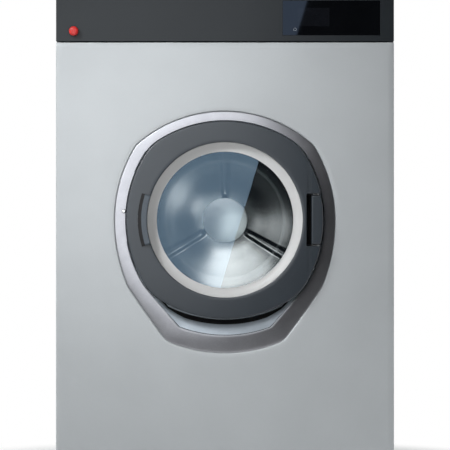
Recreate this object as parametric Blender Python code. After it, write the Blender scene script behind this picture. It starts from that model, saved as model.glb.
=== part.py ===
# Front-loading commercial washing machine on its own suspension.
# Metres, Z up. The front faces -Y and the origin is on the floor, in the middle of the space it fills.
# Depths are counted from the cabinet's front plane, towards the rear.
# Heights and widths on the door are counted from the door's centre.

import math

import bpy
import bmesh
from mathutils import Vector

# Cabinet
sheet = 0.0015
panel_flange = 0.025
panel_seam = 0.0008
side_return = 0.018
fascia_height = 0.1604
fascia_seam = 0.0032
tub_side_room = 0.080
tub_floor_room = 0.2637
tub_head_room = 0.2663
pulley_rear_room = 0.047
touch = 0.0003
overrun = 0.002

# Base frame and feet
foot_height = 0.030
foot_pad_radius = 0.030
foot_pad_height = 0.009
foot_stud_radius = 0.008
foot_nut_radius = 0.014
foot_nut_height = 0.008
foot_inset = 0.055
base_height = 0.040
base_inset = 0.004
base_rail = 0.045
cross_member = 0.080

# Door outline: four wide arcs with rounded corners
door_reach = 0.2821
door_arc_extra = 0.0679
door_arc = door_reach + door_arc_extra
door_corner = 0.120
door_proud = 0.050
door_gap = 0.0036
cover_wall = 0.003
cover_skirt_end = 0.004

# Round opening of the door cover, and the funnel ring in it
door_rim = 0.0596
opening_radius = door_reach - door_rim
funnel_play = 0.0004
funnel_outer = opening_radius - funnel_play
funnel_front = 0.030
funnel_tip = 0.0175
funnel_width = 0.0264
funnel_inner = funnel_outer - funnel_width
funnel_wall = 0.0015
pane_thickness = 0.004
pane_overlap = 0.0128
pane_radius = funnel_inner + pane_overlap
bowl_flange_extra = 0.0055
bowl_flange_radius = pane_radius + bowl_flange_extra
bowl_flange = 0.006
bowl_flange_width = 0.019
bowl_front_radius = bowl_flange_radius - bowl_flange_width
bowl_taper = 0.027
bowl_back_radius = bowl_front_radius - bowl_taper
bowl_depth = 0.118
bowl_wall = 0.006
bowl_crown = 0.030
bowl_square_share = 0.6

# Aluminium frame that carries the glass and turns on the hinge pin
frame_front = 0.005
frame_back = 0.022
frame_play = 0.003
frame_inner = bowl_front_radius + frame_play
frame_overlap = 0.0055
frame_outer = opening_radius + frame_overlap
frame_step = 0.006
frame_step_width = 0.008
frame_step_radius = frame_inner + frame_step_width

# Hinge
hinge_inset = 0.0232
hinge_x = door_reach - hinge_inset
hinge_depth = 0.0245
hinge_pin_radius = 0.0055
hinge_pin_half = 0.080
hinge_block_width = 0.0126
hinge_block_left = hinge_x - hinge_block_width
hinge_block_half = 0.0703
hinge_block_gap = 0.0014
hinge_block_front = 0.048
hinge_block_round = 0.003
hinge_ear = 0.0038
hinge_eye_radius = 0.011
hinge_ear_overlap = 0.002
hinge_slot_room = 0.0138
hinge_slot_left = hinge_block_left - hinge_slot_room
hinge_slot_half = 0.0755
groove_inset = 0.0040
groove_left = hinge_slot_left + groove_inset
groove_width = 0.0100
groove_depth = 0.0012

# Pull handle and latch
handle_proud = 0.014
handle_width = 0.0260
handle_outer = opening_radius + handle_width
handle_half = 0.076
handle_bevel = 0.0100
handle_front_inset = 0.0025
handle_pin_end = 0.003
handle_axis_depth = 0.0435
handle_pin_radius = 0.003
handle_pin_half = 0.022
latch_arm = 0.006
latch_arm_half = 0.012
latch_arm_inset = 0.0201
latch_arm_left = door_reach - latch_arm_inset
latch_neck_inset = 0.0020
latch_neck_left = handle_outer - latch_neck_inset
latch_jog_depth = 0.036
latch_jog = 0.006
latch_end = 0.034
latch_nose = 0.008
latch_nose_back = 0.007
latch_nose_lead = 0.003
handle_boss = 0.008
handle_boss_half = 0.006
handle_boss_left = handle_outer + handle_boss_half
handle_boss_right = handle_outer - handle_boss_half
handle_boss_back = 0.0365
window_margin = 0.0012
window_swing = 0.0025

# Pan behind the door, its finger scoop, and the trim ring round it
trim_depth = 0.003
trim_sheet = 0.0015
trim_side_width = 0.0345
trim_side_reach = door_reach + trim_side_width
trim_side_extra = 0.0854
trim_side_arc = trim_side_reach + trim_side_extra
trim_side_low_extra = 0.1824
trim_side_low_arc = trim_side_reach + trim_side_low_extra
trim_top_width = 0.0296
trim_top_reach = door_reach + trim_top_width
trim_top_extra = 0.0703
trim_top_arc = trim_top_reach + trim_top_extra
trim_bottom_width = 0.1002
trim_bottom_reach = door_reach + trim_bottom_width
trim_bottom_extra = 0.0397
trim_bottom_arc = trim_bottom_reach + trim_bottom_extra
trim_flank_width = 0.0559
trim_flank_reach = door_reach + trim_flank_width
trim_flank_arc = 2.4
trim_flank_degrees = 33
trim_corner = 0.060
scoop_bottom_width = 0.0494
scoop_bottom_reach = door_reach + scoop_bottom_width
scoop_bottom_extra = 0.0435
scoop_bottom_arc = scoop_bottom_reach + scoop_bottom_extra
scoop_flank_width = 0.0159
scoop_flank_reach = door_reach + scoop_flank_width
scoop_flank_arc = 2.4
scoop_flank_degrees = 38
scoop_corner = 0.012
scoop_shoulder = 0.030
trim_play = 0.0005
pan_sheet = 0.0012
pan_flange_play = 0.0008
pan_floor_depth = 0.030
pan_floor_inset = 0.002
pan_bottom_width = 0.0049
pan_floor_bottom = door_reach + pan_bottom_width
pan_flank_width = 0.0019
pan_floor_flank = door_reach + pan_flank_width
pan_hole_inset = 0.0165
pan_hole_radius = opening_radius - pan_hole_inset
pan_lip = 0.005
recess_return = 0.008
stud_offset = 0.0081
stud_x = door_reach + stud_offset
stud_z = 0.0250
stud_radius = 0.0065
stud_proud = 0.007

# Door lock behind the pan
lock_overlap = 0.0279
lock_left = door_reach + lock_overlap
lock_width = 0.0790
lock_right = lock_left - lock_width
lock_half = 0.045
lock_depth = 0.042
lock_wall = 0.003
lock_slot_outer = 0.0310
lock_slot_left = lock_left - lock_slot_outer
lock_slot_inner = 0.0035
lock_slot_right = lock_right + lock_slot_inner
lock_slot_half = 0.018
lock_pocket = 0.024

# Control fascia
display_inset = 0.0401
display_width = 0.2793
display_top = 0.0419
display_bottom = 0.1412
display_thickness = 0.0020
display_proud = 0.0005
display_play = 0.0005
module_margin = 0.008
module_depth = 0.028
stop_inset = 0.0513
stop_drop = 0.1300
stop_cap_radius = 0.0137
stop_cap_front = 0.0230
stop_cap_edge = 0.0165
stop_cap_back = 0.0120
stop_neck_radius = 0.0085
stop_neck_end = 0.0045
stop_stem_radius = 0.0060
stop_socket_depth = 0.0170
stop_guide_radius = 0.0095
stop_guide_start = 0.010
stop_stem_end = 0.036
stop_bore = 0.0098
stop_collar_radius = 0.0145
stop_collar_proud = 0.0035
stop_sleeve_radius = 0.0118
stop_housing_radius = 0.018
stop_housing_end = 0.050
stop_bore_end = 0.044
inverter_left = 0.340
inverter_front = 0.300
inverter_depth = 0.250
inverter_drop = 0.360
inverter_height = 0.280
inverter_round = 0.006

# Soap hopper under a lid in the top cover
hopper_inset = 0.105
hopper_width = 0.260
hopper_front = 0.120
hopper_back = 0.340
hopper_deep = 0.130
hopper_wall = 0.004
hopper_small_pocket = 0.056
hopper_flange = 0.012
hopper_flange_thick = 0.003
spout_depth = 0.260
spout_inset = 0.1763
spout_radius = 0.028
spout_bore = 0.024
spout_length = 0.035
lid_margin = 0.012
lid_play = 0.001
lid_back_play = 0.0045
lid_axis_back = 0.3615
lid_axis_drop = 0.0040
lid_knuckle_radius = 0.0030
lid_knuckle_half = 0.030
lid_pin_radius = 0.0020
lid_pin_half = 0.048
lug_width = 0.014
lug_back = 0.3660
lug_bottom = 0.0120

# Rear services
rear_reach = 0.041
valve_x = 0.260
valve_drop = 0.130
valve_width = 0.120
valve_tall = 0.060
valve_deep = 0.050
nozzle_spacing = 0.060
nozzle_radius = 0.013
nozzle_bore = 0.008
nozzle_reach = 0.030
drain_inset = 0.100
drain_z = 0.150
drain_radius = 0.0375
drain_wall = 0.003
drain_flange_radius = 0.052
drain_flange = 0.004
drain_inner_reach = 0.260
gland_inset = 0.105
gland_drop = 0.120
gland_radius = 0.014
gland_thread = 0.010
gland_bore = 0.006
gland_reach = 0.022
gland_inside = 0.012
hole_play = 0.0005

# Drum
drum_radius = 0.375
drum_wall = 0.002
drum_front = 0.135
drum_length = 0.440
drum_back = drum_front + drum_length
mouth_step = 0.010
drum_mouth = pan_hole_radius + mouth_step
drum_mouth_roll = 0.012
drum_shoulder = 0.030
lifter_height = 0.075
lifter_crest = 0.014
lifter_front_gap = 0.030
lifter_front = drum_front + lifter_front_gap
lifter_back_gap = 0.050
lifter_back = drum_back - lifter_back_gap
back_sheet = 0.0025
back_rim_flange = 0.015
back_dish_share = 0.7
back_hub_radius = 0.0685
back_hub_rise = 0.055
back_hub_front = drum_back - back_hub_rise
rib_height = 0.016
rib_inner_width = 0.010
rib_outer_width = 0.030
rib_start = 0.082
rib_end_gap = 0.045
rib_end = drum_radius - rib_end_gap
hub_cap_radius = 0.0676
hub_cap_proud = 0.020
hub_cap_front = back_hub_front - hub_cap_proud
hub_cap_edge = 0.006
hub_cap_crown = 0.006
spider_depth = 0.036
spider_back = drum_back + spider_depth
spider_hub = 0.055
spider_arm_inner = 0.040
spider_arm_outer = 0.024

# Tub
tub_front_gap = 0.020
tub_back_gap = 0.050
drum_play = 0.030
tub_front = drum_front - tub_front_gap
tub_back = drum_back + tub_back_gap
tub_radius = drum_radius + drum_play
tub_wall = 0.0025
tub_lip = 0.010
neck_step = 0.009
neck_radius = pan_hole_radius + neck_step
neck_length = 0.030
neck_front = tub_front - neck_length
neck_curve = 0.010
shaft_hole = 0.0503
heater_rod = 0.004
heater_lift = 0.014
heater_radius = tub_radius - heater_lift
heater_front_gap = 0.055
heater_front = tub_front + heater_front_gap
heater_turn_gap = 0.035
heater_turn = tub_back - heater_turn_gap
heater_tail = 0.020
heater_end = tub_back + heater_tail
heater_bend = 0.012
heater_leg_degrees = 6
drain_hole = 0.031
drain_neck_play = 0.0005
valve_body_radius = 0.042
valve_body_top = 0.020
valve_body_height = 0.080
valve_outlet_radius = 0.030
valve_outlet_reach = 0.090
valve_outlet_drop = 0.065
valve_centre_gap = 0.185
valve_centre_depth = tub_front + valve_centre_gap

# Bearings, seal and shaft
shaft_radius = 0.0225
shaft_gap = 0.005
shaft_start = drum_back + shaft_gap
bearing_radius = 0.045
bearing_width = 0.023
bearing_seat = 0.0060
front_bearing_start = tub_back + bearing_seat
bearing_spacing = 0.0435
rear_bearing_start = front_bearing_start + bearing_spacing
bearing_web_radius = 0.036
housing_flange_radius = 0.170
housing_flange = 0.012
housing_cone_radius = 0.085
housing_hub_radius = 0.072
housing_length = 0.075
housing_end = tub_back + housing_length
seal_radius = 0.050
seal_reach = 0.010
seal_start = tub_back - seal_reach

# Belt drive
pulley_radius = 0.210
pulley_rim = 0.012
pulley_gap = 0.008
pulley_width = 0.025
pulley_hub_proud = 0.004
pulley_web = 0.006
pulley_hub_radius = 0.040
shaft_proud = 0.002
pulley_hub_front = housing_end + pulley_gap
pulley_front = pulley_hub_front + pulley_hub_proud
pulley_back = pulley_front + pulley_width
pulley_hub_back = pulley_back + pulley_hub_proud
shaft_end = pulley_hub_back + shaft_proud
motor_pulley_radius = 0.030
belt_thickness = 0.004
belt_edge = 0.002
belt_play = 0.0005
motor_x = 0.120
motor_radius = 0.088
motor_length = 0.220
motor_pulley_gap = 0.032
motor_back = pulley_front - motor_pulley_gap
motor_front = motor_back - motor_length
motor_end_bell = 0.030
motor_end_radius = 0.070
motor_foot_half = 0.045
motor_foot_inset = 0.030
motor_shaft_radius = 0.012
motor_shaft_play = 0.0006
motor_shaft_seat = 0.040
motor_bore_gap = 0.008
motor_shaft_start = motor_back - motor_shaft_seat
motor_bore_end = motor_shaft_start - motor_bore_gap

# Suspension
strut_inset = 0.105
strut_x = tub_radius - strut_inset
strut_front_gap = 0.055
strut_front = tub_front + strut_front_gap
strut_back_gap = 0.025
strut_back = tub_back - strut_back_gap
rail_drop = 0.0312
rail_height = 0.040
rail_half = 0.020
rail_front_gap = 0.015
rail_front = tub_front + rail_front_gap
rail_overhang = 0.050
rail_back = tub_back + rail_overhang
saddle_front_gap = 0.085
saddle_front = tub_front + saddle_front_gap
saddle_back_gap = 0.205
saddle_back = tub_back - saddle_back_gap
saddle_thick = 0.016
saddle_overlap = 0.018
saddle_half = strut_x + saddle_overlap
saddle_drop = 0.002
motor_plate = 0.008
motor_plate_rise = 0.006
motor_plate_gap = 0.010
motor_plate_front = motor_front + motor_plate_gap
rod_radius = 0.008
rod_bottom = 0.125
damper_radius = 0.020
damper_bore = 0.0083
damper_floor = 0.100
damper_top = 0.235
spring_inner = 0.024
spring_outer = 0.035
ballast_thick = 0.050
ballast_front_gap = 0.045
ballast_length = 0.200
ballast_front = tub_front + ballast_front_gap
ballast_back = ballast_front + ballast_length

# Gasket and hoses
gasket_wall = 0.0025
gasket_flange_width = 0.016
gasket_flange_radius = pan_hole_radius + gasket_flange_width
gasket_lip = 0.0035
gasket_inner = pan_hole_radius + gasket_lip
gasket_fold_height = 0.0145
gasket_fold = gasket_inner + gasket_fold_height
gasket_grip = 0.015
gasket_step = 0.012
hose_wall = 0.0025
hose_overlap = 0.014
hose_fold = 0.007
hose_folds = 2
drain_hose_radius = 0.026
drain_hose_pull = 0.080

# Counts of flat faces round a circle
drum_steps = 24
tub_steps = 24
door_steps = 36
small_steps = 14
rod_steps = 12
hidden_steps = 10
hub_steps = 24
edge_steps = 3
flank_steps = 1
corner_steps = 3
bowl_steps = 3
handle_steps = 8
drain_hose_steps = 12
belt_steps = 30

lifter_degrees = (90, 210, 330)
heater_leg_shares = (-1.5, -0.5, 0.5, 1.5)
heater_bend_shares = (-0.7, 0, 0.7)
cap_crown_shares = (0.6, 0.97)
cap_shoulder_share = 0.9
stud_crown_shares = (0.6, 0.9)
gland_nut_share = 0.6
lifter_half_degrees = 10
ballast_degrees = (60, 105)
saddle_half_degrees = 45
rib_edge_degrees = 5

# Overall sizes and places that follow from the sizes above
base_top = foot_height + base_height
tub_outer = tub_radius + tub_wall
door_height = base_top + tub_floor_room + tub_radius
cabinet_width = 2 * (tub_radius + tub_side_room)
cabinet_height = door_height + tub_radius + tub_head_room
cabinet_depth = shaft_end + pulley_rear_room
front_plane = -(cabinet_depth + rear_reach) / 2 + (door_proud + handle_proud) / 2
side_plane = cabinet_width / 2
rear_depth = cabinet_depth
seam_height = cabinet_height - fascia_height
panel_bottom = base_top + touch
display_right = side_plane - display_inset
display_left = display_right - display_width
stop_x = side_plane - stop_inset
gland_x = side_plane - gland_inset
drain_x = strut_x - drain_inset
hopper_left = side_plane - hopper_inset
hopper_right = hopper_left - hopper_width
spout_x = hopper_left - spout_inset
inverter_bottom = cabinet_height - inverter_drop
hinge_ear_end = hinge_block_half + hinge_block_gap + hinge_ear
hinge_ear_root = math.sqrt(frame_outer ** 2 - hinge_ear_end ** 2) - hinge_ear_overlap
fill_neck_top = tub_radius
rail_bottom = door_height - tub_outer - rail_drop
strut_places = [(side, depth) for depth in (strut_front, strut_back) for side in (-strut_x, strut_x)]
strut_names = ("front_left", "front_right", "rear_left", "rear_right")
motor_height = rail_bottom + motor_plate_rise - touch - motor_radius - motor_plate
pulley_drop = door_height - motor_height
spider_front = drum_back + touch
spider_reach = drum_radius - drum_wall / 2

for old in list(bpy.data.objects):
    bpy.data.objects.remove(old)


# Materials: colour as red, green and blue shares, then roughness and metallic shares
finish_shares = {
    "cabinet paint": ((0.55, 0.58, 0.60), 0.35, 0.5),
    "dark fascia": ((0.035, 0.04, 0.048), 0.4, 0.1),
    "door plastic": ((0.07, 0.08, 0.09), 0.35, 0.0),
    "stainless": ((0.60, 0.60, 0.61), 0.25, 1.0),
    "cast aluminium": ((0.50, 0.51, 0.52), 0.5, 1.0),
    "silver ring": ((0.62, 0.63, 0.64), 0.4, 0.3),
    "glass": ((0.75, 0.82, 0.86), 0.05, 0.0),
    "black glass": ((0.01, 0.012, 0.015), 0.08, 0.0),
    "black plastic": ((0.015, 0.016, 0.018), 0.5, 0.0),
    "grey plastic": ((0.30, 0.31, 0.32), 0.55, 0.0),
    "red plastic": ((0.70, 0.02, 0.015), 0.3, 0.0),
    "rubber": ((0.06, 0.06, 0.065), 0.75, 0.0),
    "cast iron": ((0.10, 0.105, 0.11), 0.65, 0.8),
    "steel": ((0.45, 0.46, 0.47), 0.35, 1.0),
    "zinc": ((0.52, 0.54, 0.56), 0.45, 0.9),
    "brass": ((0.60, 0.45, 0.20), 0.35, 1.0),
}


def finish_of(name):
    known = bpy.data.materials.get(name)
    if known:
        return known
    colour, roughness, metallic = finish_shares[name]
    made = bpy.data.materials.new(name)
    made.use_nodes = True
    shader = made.node_tree.nodes["Principled BSDF"]
    shader.inputs["Base Color"].default_value = (*colour, 1)
    shader.inputs["Roughness"].default_value = roughness
    shader.inputs["Metallic"].default_value = metallic
    made.diffuse_color = (*colour, 1)
    return made


# An empty on the axis of what turns or slides, for its pieces to hang from
def axis_empty(name, place):
    empty = bpy.data.objects.new(name, None)
    empty.location = place
    bpy.context.scene.collection.objects.link(empty)
    return empty


def add_piece(name, bm, finish, place=(0, 0, 0), turn=(0, 0, 0), parent=None, smooth=True):
    mesh = bpy.data.meshes.new(name)
    bm.to_mesh(mesh)
    bm.free()
    if smooth:
        mesh.shade_smooth()
        mesh.set_sharp_from_angle(angle=math.radians(30))
    piece = bpy.data.objects.new(name, mesh)
    mesh.materials.append(finish_of(finish))
    bpy.context.scene.collection.objects.link(piece)
    piece.location = place
    piece.rotation_euler = turn
    if parent:
        piece.parent = parent
        piece.location = Vector(place) - parent.location
    return piece


# A helper shape that cuts or joins, and isn't a piece itself
def add_helper(name, bm, place=(0, 0, 0), turn=(0, 0, 0), parent=None):
    helper = add_piece(name, bm, "zinc", place, turn, parent, smooth=False)
    helper.hide_render = True
    helper.display_type = "WIRE"
    return helper


def boolean(piece, helper, operation):
    modifier = piece.modifiers.new(operation.lower() + " " + helper.name, "BOOLEAN")
    modifier.operation = operation
    modifier.solver = "EXACT"
    modifier.object = helper


def cut(piece, *helpers):
    for helper in helpers:
        boolean(piece, helper, "DIFFERENCE")


def join(piece, *helpers):
    for helper in helpers:
        boolean(piece, helper, "UNION")


# Planes that an outline (across, up) and a depth are drawn in
def front_view(across, up, depth):
    return (across, depth, up)


def rear_view(across, up, depth):
    return (across, -depth, up)


def plan_view(across, up, depth):
    return (across, up, depth)


def lid_view(across, up, depth):
    return (across, up, -depth)


def rectangle(left, right, low, high):
    return [(left, low), (right, low), (right, high), (left, high)]


def arc(centre, radius, start, end, steps):
    points = []
    for step in range(steps + 1):
        angle = math.radians(start + (end - start) * step / steps)
        points.append((centre[0] + radius * math.cos(angle), centre[1] + radius * math.sin(angle)))
    return points


def circle(centre, radius, steps):
    return arc(centre, radius, 0, 360, steps)[:-1]


# The same line moved sideways, to the right of its direction
def moved(points, distance, closed):
    count = len(points)
    result = []
    for i, point in enumerate(points):
        before = points[i - 1] if closed or i else None
        after = points[(i + 1) % count] if closed or i < count - 1 else None
        normals = []
        for start, end in ((before, point), (point, after)):
            if start is not None and end is not None:
                along = Vector(end) - Vector(start)
                along.normalize()
                normals.append(Vector((along.y, -along.x)))
        middle = sum(normals, Vector((0, 0)))
        middle.normalize()
        side = Vector(point) + middle * (distance / middle.dot(normals[0]))
        result.append((side.x, side.y))
    return result


# A wall that follows a line: the line, then back along its moved copy
def wall(points, thickness):
    return points + moved(points, thickness, closed=False)[::-1]


# Side of an outline, whose outermost point lies at a reach from the centre, in a direction.
# It may change from one radius to another at that point.
def arc_edge(degrees, reach, radius, second_radius=None, steps=edge_steps):
    angle = math.radians(degrees)
    outward = Vector((math.cos(angle), math.sin(angle)))
    first = (outward * (reach - radius), radius)
    if second_radius is None:
        return (first, first, None, steps)
    return (first, (outward * (reach - second_radius), second_radius), degrees, steps)


def fillet_centre(first, second, fillet):
    (c1, r1), (c2, r2) = first, second
    r1 -= fillet
    r2 -= fillet
    between = c2 - c1
    distance = between.length
    along = (distance * distance + r1 * r1 - r2 * r2) / (2 * distance)
    height = math.sqrt(r1 * r1 - along * along)
    unit = between / distance
    side = Vector((-unit.y, unit.x))
    for sign in (1, -1):
        centre = c1 + unit * along + side * height * sign
        if (centre - c1).cross(centre - c2) > 0:
            return centre
    return None


# Closed outline of wide arcs, counter-clockwise, with a rounded corner after each
def arc_outline(edges, fillets):
    count = len(edges)
    centres = [fillet_centre(edges[i][1], edges[(i + 1) % count][0], fillets[i]) for i in range(count)]
    points = []
    for i, (first, last, change, steps) in enumerate(edges):
        low = direction(centres[i - 1] - first[0])
        high = direction(centres[i] - last[0])
        high += 360 if high < low else 0
        middle = (low + high) / 2 if change is None else change
        points += arc(*first, low, middle, steps)
        points += arc(*last, middle, high, steps)[1:]
        turn = direction(centres[i] - edges[(i + 1) % count][0][0])
        turn += 360 if turn < high - 180 else 0
        points += arc(centres[i], fillets[i], high, turn, corner_steps)[1:-1]
    return points


def direction(vector):
    return math.degrees(math.atan2(vector.y, vector.x))


def door_outline(extra=0):
    edges = [arc_edge(degrees, door_reach + extra, door_arc + extra) for degrees in (0, 90, 180, 270)]
    return arc_outline(edges, [door_corner] * 4)


def recess_outline(side, top, flank, bottom, flank_degrees, fillets):
    reach, low_arc, high_arc = side
    edges = [
        arc_edge(0, reach, low_arc, high_arc),
        arc_edge(90, *top),
        arc_edge(180, reach, high_arc, low_arc),
        arc_edge(180 + flank_degrees, *flank, steps=flank_steps),
        arc_edge(270, *bottom),
        arc_edge(360 - flank_degrees, *flank, steps=flank_steps),
    ]
    upper, shoulder, lower = fillets
    return arc_outline(edges, [upper, upper, shoulder, lower, lower, shoulder])


def trim_outer_outline():
    return recess_outline(
        (trim_side_reach, trim_side_low_arc, trim_side_arc),
        (trim_top_reach, trim_top_arc),
        (trim_flank_reach, trim_flank_arc),
        (trim_bottom_reach, trim_bottom_arc),
        trim_flank_degrees,
        (trim_corner, trim_corner, trim_corner),
    )


def trim_inner_outline():
    round_door = (door_reach + door_gap, door_arc + door_gap)
    return recess_outline(
        (*round_door, door_arc + door_gap),
        round_door,
        (scoop_flank_reach, scoop_flank_arc),
        (scoop_bottom_reach, scoop_bottom_arc),
        scoop_flank_degrees,
        (door_corner, scoop_shoulder, scoop_corner),
    )


def pan_floor_outline():
    round_door = (door_reach + door_gap - pan_floor_inset, door_arc + door_gap - pan_floor_inset)
    return recess_outline(
        (*round_door, door_arc + door_gap - pan_floor_inset),
        round_door,
        (pan_floor_flank, scoop_flank_arc),
        (pan_floor_bottom, scoop_bottom_arc),
        scoop_flank_degrees,
        (door_corner, scoop_shoulder, scoop_corner),
    )


def new_loop(bm, outline, depth, view):
    return [bm.verts.new(view(across, up, depth)) for across, up in outline]


def loop_edges(bm, verts):
    edges = []
    for first, second in zip(verts, verts[1:] + verts[:1]):
        edges.append(bm.edges.get((first, second)) or bm.edges.new((first, second)))
    return edges


def fill(bm, *loops):
    edges = [edge for verts in loops for edge in loop_edges(bm, verts)]
    bmesh.ops.triangle_fill(bm, use_beauty=True, use_dissolve=False, edges=edges)


def bridge(bm, first, second):
    count = len(first)
    for i in range(count):
        j = (i + 1) % count
        bm.faces.new((first[i], first[j], second[j], second[i]))


# Flat plate between two depths, with holes
def plate_mesh(outline, holes, near, far, view):
    bm = bmesh.new()
    loops = [new_loop(bm, points, near, view) for points in [outline, *holes]]
    if holes:
        fill(bm, *loops)
    else:
        bm.faces.new(loops[0])
    extruded = bmesh.ops.extrude_face_region(bm, geom=bm.faces[:])
    verts = [item for item in extruded["geom"] if isinstance(item, bmesh.types.BMVert)]
    bmesh.ops.translate(bm, verts=verts, vec=Vector(view(0, 0, far)) - Vector(view(0, 0, near)))
    bmesh.ops.recalc_face_normals(bm, faces=bm.faces[:])
    return bm


def box_mesh(left, right, near, far, low, high):
    return plate_mesh(rectangle(left, right, near, far), [], low, high, plan_view)


# Turned shape. The profile is (radius, along the Y axis), closed, or open with both ends on the axis
def turned_mesh(profile, steps, closed=True):
    bm = bmesh.new()
    verts = [bm.verts.new((radius, along, 0)) for radius, along in profile]
    edges = [bm.edges.new(pair) for pair in zip(verts, verts[1:])]
    if closed:
        edges.append(bm.edges.new((verts[-1], verts[0])))
    bmesh.ops.spin(
        bm, geom=verts + edges, cent=(0, 0, 0), axis=(0, 1, 0), angle=math.tau, steps=steps, use_merge=True
    )
    bmesh.ops.remove_doubles(bm, verts=bm.verts[:], dist=touch / 100)
    bmesh.ops.recalc_face_normals(bm, faces=bm.faces[:])
    return bm


def tube_mesh(inner, outer, near, far, steps):
    return turned_mesh([(inner, near), (outer, near), (outer, far), (inner, far)], steps)


def rod_mesh(radius, near, far, steps):
    return turned_mesh([(0, near), (radius, near), (radius, far), (0, far)], steps, closed=False)


# Turns a shape whose axis is Y so that it stands upright
upright = (math.radians(90), 0, 0)
across_axis = (0, 0, -math.radians(90))


# Sheet metal face with flanges round its outline, and thickness inside
def tray(name, outline, holes, flange, thickness, finish, view, place, lips=()):
    bm = bmesh.new()
    loops = [new_loop(bm, points, 0, view) for points in [outline, *holes]]
    fill(bm, *loops)
    bridge(bm, loops[0], new_loop(bm, outline, flange, view))
    for index, lip in lips:
        last = loops[index]
        for points, depth in lip:
            following = new_loop(bm, points, depth, view)
            bridge(bm, last, following)
            last = following
    return sheet_piece(name, bm, thickness, finish, view(0, 0, -1), place)


def sheet_piece(name, bm, thickness, finish, outward, place, parent=None):
    bmesh.ops.recalc_face_normals(bm, faces=bm.faces[:])
    bm.faces.ensure_lookup_table()
    if bm.faces[0].normal.dot(Vector(outward)) < 0:
        bmesh.ops.reverse_faces(bm, faces=bm.faces[:])
    piece = add_piece(name, bm, finish, place, parent=parent)
    solidify = piece.modifiers.new("sheet", "SOLIDIFY")
    solidify.thickness = thickness
    solidify.offset = -1
    solidify.use_even_offset = True
    return piece


# Places of the moving groups
door_centre = Vector((0, front_plane, door_height))
floor_front = Vector((0, front_plane, 0))
tub_empty = axis_empty("tub_travel", door_centre)
drum_empty = axis_empty("drum_spin", door_centre)
motor_empty = axis_empty("motor_spin", Vector((motor_x, front_plane, motor_height)))
hinge_empty = axis_empty("door_hinge", Vector((hinge_x, front_plane - hinge_depth, door_height)))
handle_empty = axis_empty(
    "handle_pull", Vector((-handle_outer, front_plane - handle_axis_depth, door_height))
)
stop_empty = axis_empty("stop_press", Vector((-stop_x, front_plane, cabinet_height - stop_drop)))
lid_empty = axis_empty(
    "lid_hinge", Vector((0, front_plane + lid_axis_back, cabinet_height - lid_axis_drop))
)


def base_frame():
    half = side_plane - base_inset
    front = base_inset
    back = rear_depth - base_inset
    bays = []
    edges = [
        front + base_rail,
        strut_front - cross_member / 2,
        strut_front + cross_member / 2,
        strut_back - cross_member / 2,
        strut_back + cross_member / 2,
        back - base_rail,
    ]
    for near, far in zip(edges[0::2], edges[1::2]):
        bays.append(rectangle(-half + base_rail, half - base_rail, near, far))
    bm = plate_mesh(rectangle(-half, half, front, back), bays, foot_height, base_top, plan_view)
    piece = add_piece("base_frame", bm, "zinc", floor_front)
    profile = [
        (0, base_top - overrun),
        (damper_radius, base_top - overrun),
        (damper_radius, damper_top),
        (damper_bore, damper_top),
        (damper_bore, damper_floor),
        (0, damper_floor),
    ]
    for name, (across, depth) in zip(strut_names, strut_places):
        bm = turned_mesh(profile, hidden_steps, closed=False)
        place = floor_front + Vector((across, depth, 0))
        join(piece, add_helper("damper_tube_" + name, bm, place, upright))


def feet():
    profile = [
        (0, 0),
        (foot_pad_radius, 0),
        (foot_pad_radius, foot_pad_height / 2),
        (foot_stud_radius, foot_pad_height),
        (foot_stud_radius, foot_height - touch - foot_nut_height),
        (foot_nut_radius, foot_height - touch - foot_nut_height),
        (foot_nut_radius, foot_height - touch),
        (0, foot_height - touch),
    ]
    across = side_plane - foot_inset
    depths = (foot_inset, rear_depth - foot_inset)
    places = [(side, depth) for depth in depths for side in (-across, across)]
    for name, (side, depth) in zip(strut_names, places):
        bm = turned_mesh(profile, rod_steps, closed=False)
        add_piece("foot_" + name, bm, "rubber", floor_front + Vector((side, depth, 0)), upright)


# The front panel's opening is pressed back round the trim ring
def front_panel():
    rise = panel_bottom - door_height
    top = seam_height - fascia_seam / 2 - door_height
    outer = rectangle(-side_plane, side_plane, rise, top)
    opening = trim_outer_outline()
    inner = moved(opening, -recess_return, closed=True)
    depth = trim_depth + trim_sheet + pan_sheet + 2 * touch
    tray(
        "front_panel", outer, [opening], panel_flange, sheet, "cabinet paint", front_view, door_centre,
        lips=[(1, [(opening, depth), (inner, depth)])],
    )


def side_panels():
    near = panel_flange + panel_seam
    far = rear_depth - panel_flange - panel_seam
    top = cabinet_height - panel_flange - panel_seam
    for name, side in (("left_side_panel", -1), ("right_side_panel", 1)):
        outer = side * side_plane
        inner = side * (side_plane - sheet)
        lip = side * (side_plane - side_return)
        outline = [
            (outer, near),
            (outer, far),
            (lip, far),
            (lip, far - sheet),
            (inner, far - sheet),
            (inner, near + sheet),
            (lip, near + sheet),
            (lip, near),
        ]
        bm = plate_mesh(outline, [], base_top + touch, top, plan_view)
        add_piece(name, bm, "cabinet paint", floor_front)


def rear_panel():
    low = panel_bottom
    high = cabinet_height - panel_flange - panel_seam
    holes = [
        circle((-drain_x, drain_z), drain_radius + hole_play, small_steps),
        circle((-gland_x, cabinet_height - gland_drop), gland_thread + hole_play, rod_steps),
    ]
    for side in (-1, 1):
        centre = (valve_x + side * nozzle_spacing / 2, cabinet_height - valve_drop)
        holes.append(circle(centre, nozzle_radius + hole_play, rod_steps))
    place = Vector((0, front_plane + rear_depth, 0))
    outline = rectangle(-side_plane, side_plane, low, high)
    tray("rear_panel", outline, holes, panel_flange, sheet, "cabinet paint", rear_view, place)


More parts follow.
